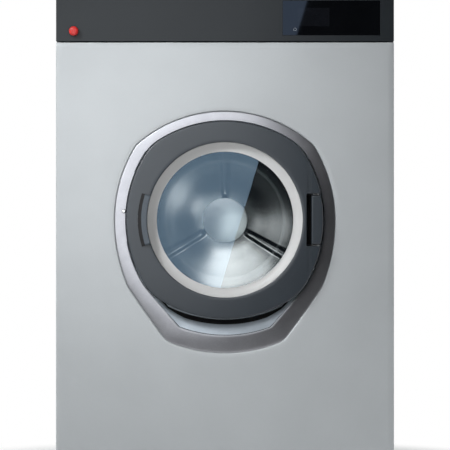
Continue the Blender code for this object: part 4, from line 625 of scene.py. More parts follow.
def makeFloor():
    s = stageSizes
    material, tree, shader, place = newMaterial("paleFloor")
    flat = outOf(tree, "ShaderNodeVectorMath", {0: place, 1: (1, 1, 0)}, operation="MULTIPLY")
    reach = addNode(tree, "ShaderNodeVectorMath", {0: flat}, operation="LENGTH").outputs["Value"]
    fade = rangeNode(tree, reach, (s["fadeStart"], s["fadeEnd"]), kind="SMOOTHSTEP")
    share = mathNode(tree, "MULTIPLY", fade, seenShare(tree))
    setInputs(tree, shader, {
        "Base Color": linearColour(s["floorColour"]), "Roughness": 0.9, "Specular IOR Level": 0.0,
    })
    mixSurface(tree, share, shader.outputs[0], outOf(tree, "ShaderNodeEmission", {"Strength": 1.0}))
    bm = bmesh.new()
    bmesh.ops.create_grid(bm, x_segments=2, y_segments=2, size=s["floorReach"])
    addPiece("paleFloor", bm, material, None)


# An area lamp that the camera can't see. Its glow is the brightness of its face
def addLamp(name, place, size, glow, turn, glossy=True, diffuse=True, spread=180):
    lamp = bpy.data.lights.new(name, "AREA")
    if isinstance(size, tuple):
        lamp.shape = "RECTANGLE"
        lamp.size, lamp.size_y = size
        lamp.energy = glow * 4 * size[0] * size[1]
        lamp.color = stageSizes["lampTint"]
    else:
        lamp.shape = "DISK"
        lamp.size = size
        lamp.energy = glow * math.pi * size * size
    lamp.spread = math.radians(spread)
    holder = newObject(name, lamp)
    holder.location = place
    holder.rotation_euler = turn
    holder.visible_camera = False
    holder.visible_glossy = glossy
    holder.visible_diffuse = diffuse


# The softbox left of the camera, whose leaning edge shows in the door's pane, a dark flag behind it,
# a soft key in front and a strong one from the upper left, and lamps that light the sides and the rear
def makeLamps():
    s = stageSizes
    facing, lean = math.radians(90), math.radians(s["softboxLean"])
    x, z = s["softboxEdge"]
    middle = Vector((x, frontY - s["softboxNear"], z))
    middle += Vector((math.cos(lean), 0, -math.sin(lean))) * (-s["softboxSize"][0] / 2)
    middle += Vector((math.sin(lean), 0, math.cos(lean))) * s["softboxRise"]
    addLamp("leaningSoftbox", middle, s["softboxSize"], s["softboxGlow"], (facing, lean, 0), diffuse=False)
    for name, (place, size, glow) in s["lamps"].items():
        upper = name == "upperKey"
        turn = (Vector(s["lampAim"]) - Vector(place)).to_track_quat("-Z", "Y").to_euler()
        addLamp(name, place, size, glow, turn, glossy=upper, spread=s["upperSpread"] if upper else 180)

    # Small lamps hidden in the drum's front corner. They draw soft streaks on the polished back
    for degrees, reach, size, glow in s["drumLamps"]:
        turn = math.radians(degrees)
        place = doorCentre + Vector((reach * math.cos(turn), s["drumLampDepth"], reach * math.sin(turn)))
        addLamp("drumLamp", place, size, glow, (facing, 0, 0))

    material, tree, shader, place = newMaterial("blackFlagCloth")
    setInputs(tree, shader, {
        "Base Color": (0.002, 0.002, 0.002, 1), "Specular IOR Level": 0.0,
        "Emission Color": (1, 1, 1, 1), "Emission Strength": s["flagGlow"],
    })
    bm = bmesh.new()
    bmesh.ops.create_grid(bm, x_segments=1, y_segments=1, size=0.5)
    bmesh.ops.scale(bm, verts=bm.verts[:], vec=(*s["flagReach"], 1))
    bmesh.ops.rotate(bm, verts=bm.verts[:], matrix=upright)
    x, z = s["flagPlace"]
    shiftMesh(bm, (x, frontY - s["flagNear"], z))
    flag = addPiece("blackFlag", bm, material, None)
    flag.visible_camera = False
    flag.visible_diffuse = False
    flag.visible_shadow = False


makeStage()
makeFloor()
makeLamps()
print("stage set")

# Sheet metal cabinet
panelSizes = {
    "sheet": 0.0015, "flange": 0.025, "round": 0.0016, "low": 0.0703, "high": 1.2480, "lipRound": 0.0026,
    "lipPlay": 0.0005, "lipDepth": 0.0050, "lipWidth": 0.0080,
}


# A rectangle's outline seen from the door's centre, with its corners kept
def rectangleLoop(halfX, low, high, depth, angles, corners):
    points = []
    for angle in angles:
        cosine, sine = math.cos(angle), math.sin(angle)
        edge = high - doorZ if sine > 0 else doorZ - low
        if angle in corners:
            x, z = math.copysign(halfX, cosine), math.copysign(edge, sine)
        else:
            reach = min(halfX / max(abs(cosine), 1e-9), edge / max(abs(sine), 1e-9))
            x, z = reach * cosine, reach * sine
        points.append((x, frontY + depth, doorZ + z))
    return points


def makeFrontPanel():
    s = panelSizes
    corners = {math.atan2(z - doorZ, x) % math.tau
               for x in (-halfWidth, halfWidth) for z in (s["low"], s["high"])}
    angles = sorted(set(evenAngles) | corners)
    r, soft, sheet = s["round"], s["lipRound"], s["sheet"]
    play, width, deep = s["lipPlay"], s["lipWidth"], s["lipDepth"]

    def rectangle(inset, depth):
        return rectangleLoop(halfWidth - inset, s["low"] + inset, s["high"] - inset, depth, angles, corners)

    loops = [rectangle(inset, depth) for inset, depth in (
        (0, s["flange"]), (0, r), (r * 0.3, r * 0.3), (r, 0), (0.02, 0),
    )]
    loops += [loopAt(trimShape, offset, depth, angles) for offset, depth in (
        (0.016, 0), (play + 1.4 * soft, 0), (play + 0.5 * soft, 0.2 * soft), (play + 0.1 * soft, 0.6 * soft),
        (play, 1.3 * soft), (play, deep), (-width, deep), (-width, deep + sheet),
        (play + sheet, deep + sheet), (play + sheet, sheet),
    )]
    loops += [rectangle(sheet, sheet), rectangle(sheet, s["flange"])]
    addPiece("frontPanel", loftLoops(loops), silverCoat, "cabinet", "front_panel", sharp=50)


# A flanged sheet cover: a rounded box, open on one side
def trayMesh(name, low, high, openSide, material, replaced, extra=()):
    sheet = panelSizes["sheet"]
    piece = addPiece(name, boxMesh(low, high, panelSizes["round"]), material, "cabinet", replaced, sharp=50)
    innerLow = [v + sheet for v in low]
    innerHigh = [v - sheet for v in high]
    axis, side = openSide
    if side > 0:
        innerHigh[axis] = high[axis] + sheet
    else:
        innerLow[axis] = low[axis] - sheet
    carve(piece, [boxMesh(innerLow, innerHigh), *extra])
    weighNormals(piece)


fasciaSizes = {
    "low": 1.2512, "displayPlay": 0.0005, "stop": (-0.4337, 1.280), "stopBore": 0.0125,
    "screen": (0.2095, 0.2993, 1.2949, 1.3469), "screenProud": 0.0001, "symbol": (0.2009, 1.2854),
    "symbolRadius": 0.0042, "symbolLine": 0.0009,
    "cap": [(0, -0.0230), (0.0075, -0.0226), (0.0122, -0.0205), (0.0137, -0.0165), (0.0137, -0.0135),
            (0.0122, -0.0120), (0.0085, -0.0120), (0.0085, -0.0045), (0, -0.0045)],
}


def makeFascia():
    s = fasciaSizes
    low = (-halfWidth, frontY, s["low"])
    high = (halfWidth, frontY + panelSizes["flange"], cabinetTop)
    glassLow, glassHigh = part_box("display_glass")
    play = s["displayPlay"]
    window = boxMesh((glassLow[0] - play, frontY - 0.01, glassLow[2] - play),
                     (glassHigh[0] + play, frontY + 0.01, glassHigh[2] + play))
    stopX, stopZ = s["stop"]
    bore = turnedMesh([(0, -0.01), (s["stopBore"], -0.01), (s["stopBore"], 0.01), (0, 0.01)], 48,
                      (stopX, frontY, stopZ))
    trayMesh("controlFascia", low, high, (1, 1), graphiteLacquer, "control_fascia", (window, bore))


def makeDisplay():
    s = fasciaSizes
    low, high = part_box("display_glass")
    addPiece("displayGlass", boxMesh(low, high, 0.0004, 2), displayBlack, "cabinet", "display_glass",
             flat=True)
    left, right, bottom, top = s["screen"]
    face = low[1] - s["screenProud"]
    addPiece("screenWindow", boxMesh((left, face, bottom), (right, low[1] + 0.0004, top), 0.00005, 1),
             screenGlass, "cabinet", "display_glass", flat=True)
    x, z = s["symbol"]
    line, radius = s["symbolLine"], s["symbolRadius"]
    outline = arcPoints((0, 0), radius, -230, 50, 30) + arcPoints((0, 0), radius - line, 50, -230, 30)
    stroke = [(-line / 2, radius * 0.3), (line / 2, radius * 0.3), (line / 2, radius * 1.25),
              (-line / 2, radius * 1.25)]
    bm = bmesh.new()
    for points in (outline, stroke):
        flat = bm.faces.new([bm.verts.new((x + px, face, z + pz)) for px, pz in points])
        wall = bmesh.ops.extrude_face_region(bm, geom=[flat])
        moved = [g for g in wall["geom"] if isinstance(g, bmesh.types.BMVert)]
        bmesh.ops.translate(bm, verts=moved, vec=(0, 0.0004, 0))
    addPiece("powerSymbol", bm, printedInk, "cabinet", "display_glass", sharp=20)


def makeStopButton():
    x, z = fasciaSizes["stop"]
    turnPiece("stopCap", rounded(fasciaSizes["cap"], 0.0016), 72, (x, frontY, z), redPolycarbonate,
              "stop_button", "estop_button")
    roundedCopy("stopCollar", "estop_collar", blackNylon, "cabinet", 0.0004)
    dress(greyPolypropylene, "estop_stem")


# Top cover with the hopper's opening and its flush lid
lidSizes = {
    "low": (-0.391, -0.2745), "high": (-0.109, -0.0220), "play": 0.001, "back": 0.0045, "round": 0.0006,
    "axis": (-0.250, -0.0220, 1.406), "knuckle": 0.0029, "pin": 0.0020, "half": 0.048, "bearing": 0.030,
}


def makeTop():
    s = lidSizes
    sheet = panelSizes["sheet"]
    low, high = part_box("top_cover")
    play = s["play"]
    opening = boxMesh((s["low"][0] - play, s["low"][1] - play, cabinetTop - 0.02),
                      (s["high"][0] + play, s["high"][1] + s["back"], cabinetTop + 0.01))
    trayMesh("topCover", low, high, (2, -1), silverCoat, "top_cover", (opening,))
    bm = boxMesh((*s["low"], cabinetTop - sheet), (*s["high"], cabinetTop), s["round"], 2)
    half, bearing, pin, radius = s["half"], s["bearing"], s["pin"], s["knuckle"]
    knuckle = turnedMesh(rounded([(0, -half), (pin, -half), (pin, -bearing), (radius, -bearing),
                                  (radius, bearing), (pin, bearing), (pin, half), (0, half)], 0.0003),
                         24, s["axis"], acrossX)
    mesh = bpy.data.meshes.new("knuckle")
    knuckle.to_mesh(mesh)
    knuckle.free()
    bm.from_mesh(mesh)
    addPiece("hopperLid", bm, silverCoat, "hopper_lid", "hopper_lid", sharp=50, flat=True)


footSizes = {
    "padHeight": 0.010, "padTop": 0.012, "padRound": 0.0015, "crest": 0.0080, "root": 0.0074, "pitch": 0.001,
}


def makeFeet():
    s = footSizes
    crest, root, pitch, base = s["crest"], s["root"], s["pitch"], s["padHeight"]
    for corner in cornerNames:
        name = "foot_" + corner
        x, y, low, top, reach = standingBox(name)
        pad = rounded([(0, 0), (reach - 0.002, 0), (reach, 0.002), (reach, base - 0.004),
                       (reach - 0.008, base), (crest + 0.002, base), (crest, s["padTop"]),
                       (0, s["padTop"])], s["padRound"])
        turnPiece(name + "_pad", pad, 64, (x, y, 0), blackRubber, "cabinet", name, upright)
        stud = [(0, base), (crest, base)]
        for turn in range(int((top - s["padTop"]) / pitch)):
            stud += [(crest, base + (turn + 0.5) * pitch), (root, base + (turn + 1) * pitch)]
        stud += [(0.0078, top), (0, top)]
        turnPiece(name + "_stud", stud, 24, (x, y, 0), zincPlate, "cabinet", name, upright, sharp=35)


makeFrontPanel()
makeFascia()
makeDisplay()
makeStopButton()
makeTop()
makeFeet()
dress(silverCoat, "left_side_panel", "right_side_panel", "rear_panel")
dress(zincPlate, "base_frame")
dress(greyPolypropylene, "inverter_box", "soap_hopper", "inlet_valve")
dress(blackNylon, "display_module", "lock_housing", "cable_gland")
print("cabinet made")

# Trim ring and pan behind the door
trimSizes = {
    "innerDepth": 0.0012, "outerDepth": 0.0036, "bottom": 0.0046, "roll": 0.0006, "play": 0.0005,
    "steps": 10,
}


def makeTrimRing():
    s = trimSizes
    play, near, roll = s["play"], s["innerDepth"], s["roll"]
    rows = [(scoopShape, play, s["bottom"]), (scoopShape, play, near + 2 * roll),
            (scoopShape, play + 0.3 * roll, near + 0.4 * roll)]
    for step in range(s["steps"] + 1):
        share = 0.03 + 0.94 * step / s["steps"]
        depth = near + (s["outerDepth"] - near) * share ** 2
        rows.append((scoopShape, 0, depth, trimShape, share))
    rows += [(trimShape, -roll * 0.4, s["outerDepth"] + 0.4 * roll), (trimShape, 0, s["bottom"])]
    loftPiece("trimRing", rows, trimSteel, "cabinet", "trim_ring", sharp=40)


panSizes = {
    "rimDepth": 0.0049, "sheet": 0.0012, "floor": 0.030, "hole": 0.206, "lip": 0.005, "flange": 0.012,
    # The last three place the black bead and strip that paint shade along the trim's edge and below the door
    "steps": 14, "corner": 0.004, "shadeBeadShare": 0.035, "shadeStripShare": 0.70, "shadeStripThick": 0.0004,
}


# The scoop starts as a shallow slope at the trim, and drops away steeply below the door
def scoopRow(share, thickness, offset):
    s = panSizes
    depth = s["rimDepth"] + thickness + (s["floor"] - s["rimDepth"]) * (0.3 * share + 0.7 * share ** 4)
    return scoopShape, offset, depth, floorShape, share


def makeDoorPan():
    s = panSizes
    steps, sheet, rim, hole, corner = s["steps"], s["sheet"], s["rimDepth"], s["hole"], s["corner"]
    floor, lip = s["floor"], s["floor"] + s["lip"]
    rows = [(scoopShape, s["flange"], rim), (scoopShape, 0.001, rim)]
    rows += [scoopRow(step / steps, 0.0, 0.0) for step in range(1, steps + 1)]
    rows += [
        (floorShape, -corner, floor), (hole, corner, floor), (hole, 0.001, floor + 0.001), (hole, 0, lip),
        (hole, sheet, lip), (hole, sheet + 0.002, floor + sheet), (floorShape, -corner, floor + sheet),
    ]
    rows += [scoopRow(step / steps, sheet, sheet) for step in range(steps, 0, -1)]
    rows += [(scoopShape, 0.0025, rim + sheet), (scoopShape, s["flange"], rim + sheet)]
    loftPiece("doorPan", rows, panSteel, "cabinet", "door_pan")


# Painted shade: a black rubber bead where the trim meets the pan, and a black rubber strip on the scoop below
# the door, stand for the shade that falls there
def makePanShadeStrips():
    s = panSizes
    for name, first, last in (("paintedShadeBead", 0.0, s["shadeBeadShare"]), ("paintedShadeStrip", s["shadeStripShare"], 1.0)):
        rows = []
        for thickness, steps in ((-s["shadeStripThick"], range(7)), (s["shadeStripThick"] / 4, range(6, -1, -1))):
            rows += [scoopRow(first + (last - first) * step / 6, thickness, 0) for step in steps]
        loftPiece(name, rows, blackRubber, "cabinet", slot="rubber")


studSizes = {
    "place": (-0.2902, 0, 0.0250), "round": 0.0012,
    "profile": [(0, -0.0043), (0.0040, -0.0041), (0.0062, -0.0022), (0.0065, 0.0002), (0.0052, 0.0018),
                (0.0052, 0.0027), (0, 0.0027)],
}


def makeStud():
    s = studSizes
    turnPiece("latchStud", rounded(s["profile"], s["round"]), 48, doorCentre + Vector(s["place"]),
              polishedSteel, "cabinet", "latch_stud")


makeTrimRing()
makeDoorPan()
makePanShadeStrips()
makeStud()
print("recess made")

# Door: cover, hinge, handle, ring and glass
coverSizes = {
    "front": -0.050, "round": 0.0045, "crown": 0.0011, "wall": 0.003, "skirt": 0.004, "opening": 0.2225,
    "mouthRound": 0.0016, "back": -0.0053, "faceSteps": 8, "cutStart": -0.07,
    "slot": (0.2325, 0.30), "slotEnd": 0.02, "slotHalf": 0.0755,
    "groove": (0.2365, 0.2465), "grooveDepth": 0.0020, "grooveHalf": 0.29,
    "latchWindow": (-0.2490, -0.2393), "windowEnd": -0.040, "windowHalf": 0.0132,
    # A black plate of painted shade that darkens the hinge slot
    "plate": (0.2300, 0.2480, 0.0060, 0.0075, 0.074),
}


def makeDoorCover():
    s = coverSizes
    r, front, mouth, wall, opening = s["round"], s["front"], s["mouthRound"], s["wall"], s["opening"]
    edge = front + s["crown"]
    rows = [(doorShape, 0, s["skirt"]), (doorShape, 0, edge + r)]
    for degrees in (30, 60, 80):
        turn = math.radians(degrees)
        rows.append((doorShape, -r * (1 - math.cos(turn)), edge + r * (1 - math.sin(turn))))
    for step in range(s["faceSteps"] + 1):
        share = 1 - step / s["faceSteps"]
        rows.append((opening + mouth, -r * share, front + s["crown"] * share ** 2, doorShape, share))
    rows += [
        (opening, mouth * 0.3, front + mouth * 0.3), (opening, 0, front + mouth), (opening, 0, s["back"]),
        (opening, wall, s["back"]), (opening, wall, front + wall), (doorShape, -wall, edge + wall),
        (doorShape, -wall, s["skirt"]),
    ]
    cover = loftPiece("doorCover", rows, graphiteAbs, "door", "door_cover", evenAngles[::2], sharp=40)
    slot = doorBox(*s["slot"], s["cutStart"], s["slotEnd"], s["slotHalf"])
    groove = doorBox(*s["groove"], s["cutStart"], front + s["grooveDepth"], s["grooveHalf"])
    window = doorBox(*s["latchWindow"], s["cutStart"], s["windowEnd"], s["windowHalf"])
    carve(cover, [slot, groove, window])


def makeHinge():
    roundedCopy("hingeBlock", "hinge_bracket", graphiteAbs, "cabinet", 0.0012)
    x, y, low, high, radius = standingBox("hinge_pin")
    half = (high - low) / 2
    pin = rounded([(0, -half), (radius, -half), (radius, half), (0, half)], 0.001)
    turnPiece("hingePin", pin, 48, (x, y, (low + high) / 2), polishedSteel, "cabinet", "hinge_pin", upright)
    # Painted shade: a black plate behind the slot of the cover, beside the hinge block, keeps the deep slot
    # dark
    addPiece("hingeShadePlate", doorBox(*coverSizes["plate"], 0.0004, 2), blackRubber, "cabinet",
             "hinge_bracket", flat=True)


handleSizes = {
    "inner": 0.2228, "outer": 0.2485, "half": 0.076, "back": -0.0500, "front": -0.064, "bevel": 0.0100,
    "heel": -0.0530, "lean": 0.0002, "edgeRound": 0.0012,
    # The last share marks how much of the bevel carries the painted shade strip
    "endRound": 0.005, "endDrop": 0.0035, "steps": 60, "shadeStripShare": 0.95,
}


# A curved grip: the section is swept round the opening, and drawn in at both ends
def makeHandle():
    s = handleSizes
    inner, outer = s["inner"], s["outer"]
    halfAngle = math.asin(s["half"] / outer)
    section = rounded([(outer, s["back"]), (outer, s["heel"]), (outer - s["bevel"], s["front"]),
                       (inner + s["lean"], s["front"]), (inner, s["back"])], s["edgeRound"], 3)
    rows = []
    for step in range(s["steps"] + 1):
        share = 2 * step / s["steps"] - 1
        share = math.copysign(1 - (1 - abs(share)) ** 1.6, share)
        edge = max(0.0, s["endRound"] - (1 - abs(share)) * s["half"]) / s["endRound"]
        drop = (1 - math.sqrt(max(0.0, 1 - edge * edge))) * s["endDrop"]
        angle = math.pi + halfAngle * share
        rows.append([(radius * math.cos(angle), frontY + min(depth + drop, s["back"]),
                      doorZ + radius * math.sin(angle)) for radius, depth in section])
    bm = loftLoops(rows, closed=False)
    # Painted shade: the bevel on the hinge's far side carries a black rubber strip, so that this side reads
    # as shaded
    bm.normal_update()
    for face in bm.faces:
        middle = face.calc_center_median()
        reach = math.hypot(middle.x, middle.z - doorZ)
        if reach > outer - s["bevel"] * s["shadeStripShare"]:
            face.material_index = 1
    grip = addPiece("pullHandle", bm, gripAbs, "handle", "door_handle", sharp=40)
    grip.data.materials.append(blackRubber)


# The latch hook on the back of the grip, as the solids have it
def makeLatchArm():
    bm = nodeMesh("door_handle")
    cut = bmesh.ops.bisect_plane(bm, geom=bm.verts[:] + bm.edges[:] + bm.faces[:], plane_no=(0, -1, 0),
                                 plane_co=(0, frontY + handleSizes["back"] + 0.0005, 0), clear_outer=True)
    bmesh.ops.edgeloop_fill(bm, edges=[g for g in cut["geom_cut"] if isinstance(g, bmesh.types.BMEdge)])
    addPiece("latchArm", bm, castAluminium, "handle", "door_handle", sharp=40)


glassSizes = {
    "ringOuter": 0.2221, "ringInner": 0.1957, "ringFront": -0.030, "ringTip": -0.0175, "ringWall": 0.0016,
    "ringSteps": 12, "paneRadius": 0.2085, "pane": (-0.0157, -0.0117), "steps": 144, "pegHeight": 0.1950,
    "peg": [(0, -0.0192), (0.0016, -0.0190), (0.0016, -0.0165), (0, -0.0165)],
    "bowlOutside": [(0, 0.118), (0.060, 0.1162), (0.110, 0.1085), (0.145, 0.0950), (0.162, 0.0780),
                    (0.1685, 0.055), (0.1740, 0.030), (0.1800, 0.006), (0.1860, -0.0010), (0.1950, -0.0053),
                    (0.2140, -0.0053)],
    "bowlInside": [(0.2140, -0.0113), (0.1910, -0.0113), (0.1820, -0.0070), (0.1745, 0.004),
                   (0.1685, 0.030), (0.1627, 0.054), (0.1565, 0.074), (0.1415, 0.0895), (0.108, 0.1025),
                   (0.060, 0.1100), (0, 0.112)],
}


# Catmull-Rom line through the points, with a few steps between each pair
def smoothLine(points, steps):
    result = []
    last = len(points) - 1
    for i in range(last):
        a, b, c, d = [Vector(points[min(max(k, 0), last)]) for k in (i - 1, i, i + 1, i + 2)]
        for step in range(steps):
            t = step / steps
            bend = 2 * b + (c - a) * t + (2 * a - 5 * b + 4 * c - d) * t * t
            bend += (3 * b - a - 3 * c + d) * t ** 3
            result.append(tuple(0.5 * bend))
    return result + [tuple(points[-1])]


# The ring is steep at the outside and flat at the inside, so it catches light like a dish
def makeGlass():
    s = glassSizes
    outer, inner, wall = s["ringOuter"], s["ringInner"], s["ringWall"]
    front, tip = s["ringFront"], s["ringTip"]
    line = []
    for step in range(s["ringSteps"] + 1):
        share = step / s["ringSteps"]
        line.append((outer + (inner - outer) * share,
                     front + (tip - front) * math.sin(share * math.pi / 2) ** 0.9))
    profile = line + [(inner - 0.0002, tip + wall)]
    profile += [(radius + 0.0004, depth + wall) for radius, depth in reversed(line[:-1])]
    profile += [(outer, front + 2 * wall)]
    profile = [(min(radius, outer), depth) for radius, depth in profile]
    turnPiece("funnelRing", profile, s["steps"], doorCentre, silverAbs, "door", "glass_ring", closed=True)
    turnPiece("ringPeg", rounded(s["peg"], 0.0003), 24, doorCentre + Vector((0, 0, s["pegHeight"])),
              blackNylon, "door", "glass_ring")
    near, far = s["pane"]
    edge = s["paneRadius"]
    pane = rounded([(0, near), (edge, near), (edge, far), (0, far)], 0.0008)
    turnPiece("glassPane", pane, s["steps"], doorCentre, paneGlass, "door", "door_pane", sharp=30, flat=True)
    bowl = smoothLine(s["bowlOutside"], 3) + smoothLine(s["bowlInside"], 3)
    bowl = [(max(radius, 0.0), depth) for radius, depth in bowl]
    turnPiece("glassBowl", bowl, s["steps"], doorCentre, bowlGlass, "door", "door_glass")


makeDoorCover()
makeHinge()
makeHandle()
makeLatchArm()
makeGlass()
dress(castAluminium, "door_frame")
print("door made")

# Drum: back sheet with pressed ribs, hub cap, shell, lifters and holes
drumSizes = {
    "radius": 0.375, "front": 0.135, "back": 0.575, "mouth": 0.216, "wall": 0.002,
    "rimDepth": 0.560, "hubDepth": 0.520, "hubRadius": 0.0685, "dishShare": 0.7, "sheet": 0.0025,
    "capFront": 0.5002, "capRadius": 0.0665, "capEdge": (0.0676, 0.5018), "hubDish": 0.009,
    "ribHeight": 0.014, "ribInner": 0.0015, "ribOuter": 0.010, "ribStart": 0.070, "ribEnd": 0.330,
    "ribDegrees": (90, 210, 330), "ribFlank": 0.012,
    "waveHeight": 0.0011, "waveLength": 0.100,
    "lifterCrest": 0.300, "lifterFront": 0.165, "lifterBack": 0.525, "lifterHalf": 10,
    "rings": 72, "angles": 360,
}


# Depth of the back sheet: a shallow dish that rises to the hub in soft waves, with three pressed ribs
def backDepth(radius, angle):
    s = drumSizes
    rise = min(max((s["radius"] - radius) / (s["radius"] - s["hubRadius"]), 0), 1)
    dish = rise ** 1.5 * s["dishShare"] + rise * (1 - s["dishShare"])
    depth = s["rimDepth"] - (s["rimDepth"] - s["hubDepth"]) * dish
    depth -= s["waveHeight"] * math.sin(math.tau * (radius - s["hubRadius"]) / s["waveLength"])
    along = (radius - s["ribStart"]) / (s["ribEnd"] - s["ribStart"])
    half = s["ribInner"] + (s["ribOuter"] - s["ribInner"]) * min(max(along, 0), 1)
    ends = easeShare((radius - s["ribStart"] + 0.004) / 0.02) * easeShare((s["ribEnd"] - radius) / 0.02)
    for degrees in s["ribDegrees"]:
        swing = (angle - math.radians(degrees) + math.pi) % math.tau - math.pi
        if abs(swing) < 1.2:
            across = abs(radius * math.sin(swing))
            depth -= s["ribHeight"] * ends * easeShare((half + s["ribFlank"] - across) / s["ribFlank"])
    return depth


def makeDrumBack():
    s = drumSizes
    first, last = s["hubRadius"] * 0.6, s["radius"] - s["wall"] - 0.0003
    turns = [math.tau * i / s["angles"] for i in range(s["angles"])]
    loops = []
    for ring in range(s["rings"] + 1):
        radius = first + (last - first) * ring / s["rings"]
        loops.append([(radius * math.cos(a), backDepth(radius, a), radius * math.sin(a)) for a in turns])
    back = [[(x, depth + s["sheet"], z) for x, depth, z in loop] for loop in reversed(loops[:-1])]
    rim = [[(x * share, depth + 0.014, z * share) for x, depth, z in loops[-1]] for share in (1, 0.994)]
    bm = loftLoops(loops + rim + back)
    shiftMesh(bm, doorCentre)
    addPiece("drumBack", bm, drumSteel, "drum", "drum_back", sharp=60)
    dished = [(s["capRadius"] * i / 16, s["capFront"] + s["hubDish"] * (1 - (i / 16) ** 2))
              for i in range(17)]
    side, hub = s["capEdge"][0], s["hubDepth"]
    cap = dished + rounded([dished[-1], s["capEdge"], (side, hub), (0, hub)], 0.001, 5)[1:]
    turnPiece("hubCap", cap, 120, doorCentre, hubSteel, "drum", "hub_cap")


def makeDrumShell():
    s = drumSizes
    outer, wall, front, back, mouth = s["radius"], s["wall"], s["front"], s["back"], s["mouth"]
    inner = outer - wall
    line = [(outer, back), (outer, front + 0.030), (outer - 0.009, front + 0.009), (outer - 0.030, front),
            (mouth + 0.012, front), (mouth + 0.002, front + 0.004), (mouth, front + 0.012),
            (mouth + wall, front + 0.012), (mouth + 0.006, front + 0.0055), (mouth + 0.013, front + wall),
            (inner - 0.028, front + wall), (inner - 0.008, front + 0.010), (inner, front + 0.030),
            (inner, back)]
    turnPiece("drumShell", rounded(line, 0.004, 3, closed=True), 180, doorCentre, drumSteel, "drum",
              "drum_shell", closed=True)
    bm = bmesh.new()
    across, along = 24, 20
    for degrees in s["ribDegrees"]:
        rows = []
        for i in range(along + 1):
            t = i / along
            ends = easeShare(min(t, 1 - t) / 0.12)
            deep = s["lifterFront"] + (s["lifterBack"] - s["lifterFront"]) * t
            row = []
            for j in range(across + 1):
                swing = 2 * j / across - 1
                hump = easeShare((1 - abs(swing)) / 0.75) * ends
                reach = inner - 0.0005 - (inner - s["lifterCrest"]) * hump
                angle = math.radians(degrees + swing * s["lifterHalf"])
                row.append((reach * math.cos(angle), deep, reach * math.sin(angle)))
            rows.append(row)
        loftLoops(rows, closed=False, bm=bm)
    shiftMesh(bm, doorCentre)
    addPiece("drumLifters", bm, drumSteel, "drum", "drum_shell", sharp=60)


# A geometry node tree with named inputs. Returns the tree, its input sockets and their identifiers
def nodeTree(name, inputs):
    tree = bpy.data.node_groups.new(name, "GeometryNodeTree")
    kinds = {float: "NodeSocketFloat", int: "NodeSocketInt", Vector: "NodeSocketVector"}
    identifiers = {}
    for label, value in inputs.items():
        socket = tree.interface.new_socket(label, in_out="INPUT", socket_type=kinds[type(value)])
        identifiers[label] = socket.identifier
    tree.interface.new_socket("Geometry", in_out="OUTPUT", socket_type="NodeSocketGeometry")
    source = tree.nodes.new("NodeGroupInput")
    return tree, source.outputs, identifiers


def endTree(tree, geometry, material):
    real = outOf(tree, "GeometryNodeRealizeInstances", {0: geometry})
    addNode(tree, "NodeGroupOutput", {0: outOf(tree, "GeometryNodeSetMaterial",
                                               {"Geometry": real, "Material": material})})


# Runs a tree on an empty piece, and keeps what it makes as a plain mesh
def growPiece(name, tree, identifiers, values, material, body, replaced=(), sharp=35):
    piece = addPiece(name, bmesh.new(), material, None, sharp=sharp)
    modifier = piece.modifiers.new("grow", "NODES")
    modifier.node_group = tree
    for label, value in values.items():
        modifier[identifiers[label]] = value
    freeze(piece, sharp)
    piece.data.materials.clear()
    piece.data.materials.append(material)
    placePiece(piece, body, replaced)
    return piece


holeSizes = {"Rows": 14, "Columns": 84, "Radius": 0.3728, "Start": 0.185, "Pitch": 0.026, "Hole": 0.0026,
             "Rim": 0.0006}


# Punched holes: staggered rows round the shell, each with its pressed rim. Rims and holes are two pieces
def makeDrumHoles():
    for name, ring in (("drumHoleRims", True), ("drumHoles", False)):
        tree, given, identifiers = nodeTree(name + "Tree", holeSizes)
        count = mathNode(tree, "MULTIPLY", given["Rows"], given["Columns"])
        points = outOf(tree, "GeometryNodePoints", {"Count": count})
        index = outOf(tree, "GeometryNodeInputIndex")
        row = mathNode(tree, "FLOOR", mathNode(tree, "DIVIDE", index, given["Columns"]))
        column = mathNode(tree, "ADD", index, mathNode(tree, "MULTIPLY", row, 0.5))
        angle = mathNode(tree, "DIVIDE", mathNode(tree, "MULTIPLY", column, math.tau), given["Columns"])
        x = mathNode(tree, "MULTIPLY", mathNode(tree, "COSINE", angle), given["Radius"])
        z = mathNode(tree, "MULTIPLY", mathNode(tree, "SINE", angle), given["Radius"])
        y = mathNode(tree, "ADD", given["Start"], mathNode(tree, "MULTIPLY", row, given["Pitch"]))
        spot, inward = vectorNode(tree, x, y, z), vectorNode(tree, x, z=z)
        placed = outOf(tree, "GeometryNodeSetPosition", {"Geometry": points, "Position": spot})
        facing = outOf(tree, "FunctionNodeAlignRotationToVector", {"Vector": inward}, axis="Z")
        if ring:
            path = outOf(tree, "GeometryNodeCurvePrimitiveCircle", {"Resolution": 8, "Radius": given["Hole"]})
            thick = outOf(tree, "GeometryNodeCurvePrimitiveCircle", {"Resolution": 4, "Radius": given["Rim"]})
            shape = outOf(tree, "GeometryNodeCurveToMesh", {0: path, 1: thick})
        else:
            shape = outOf(tree, "GeometryNodeMeshCircle", {"Vertices": 8, "Radius": given["Hole"]},
                          fill_type="NGON")
        many = outOf(tree, "GeometryNodeInstanceOnPoints",
                     {"Points": placed, "Instance": shape, "Rotation": facing})
        moved = outOf(tree, "GeometryNodeTransform", {"Geometry": many, "Translation": tuple(doorCentre)})
        material = drumSteel if ring else holeShade
        endTree(tree, moved, material)
        growPiece(name, tree, identifiers, holeSizes, material, "drum", "drum_shell", sharp=60)


makeDrumBack()
makeDrumShell()
makeDrumHoles()
print("drum made")

# Tub and its works
tubSizes = {"steps": 144, "front": 0.115, "wall": 0.0025, "neck": 0.215, "neckFront": 0.085}


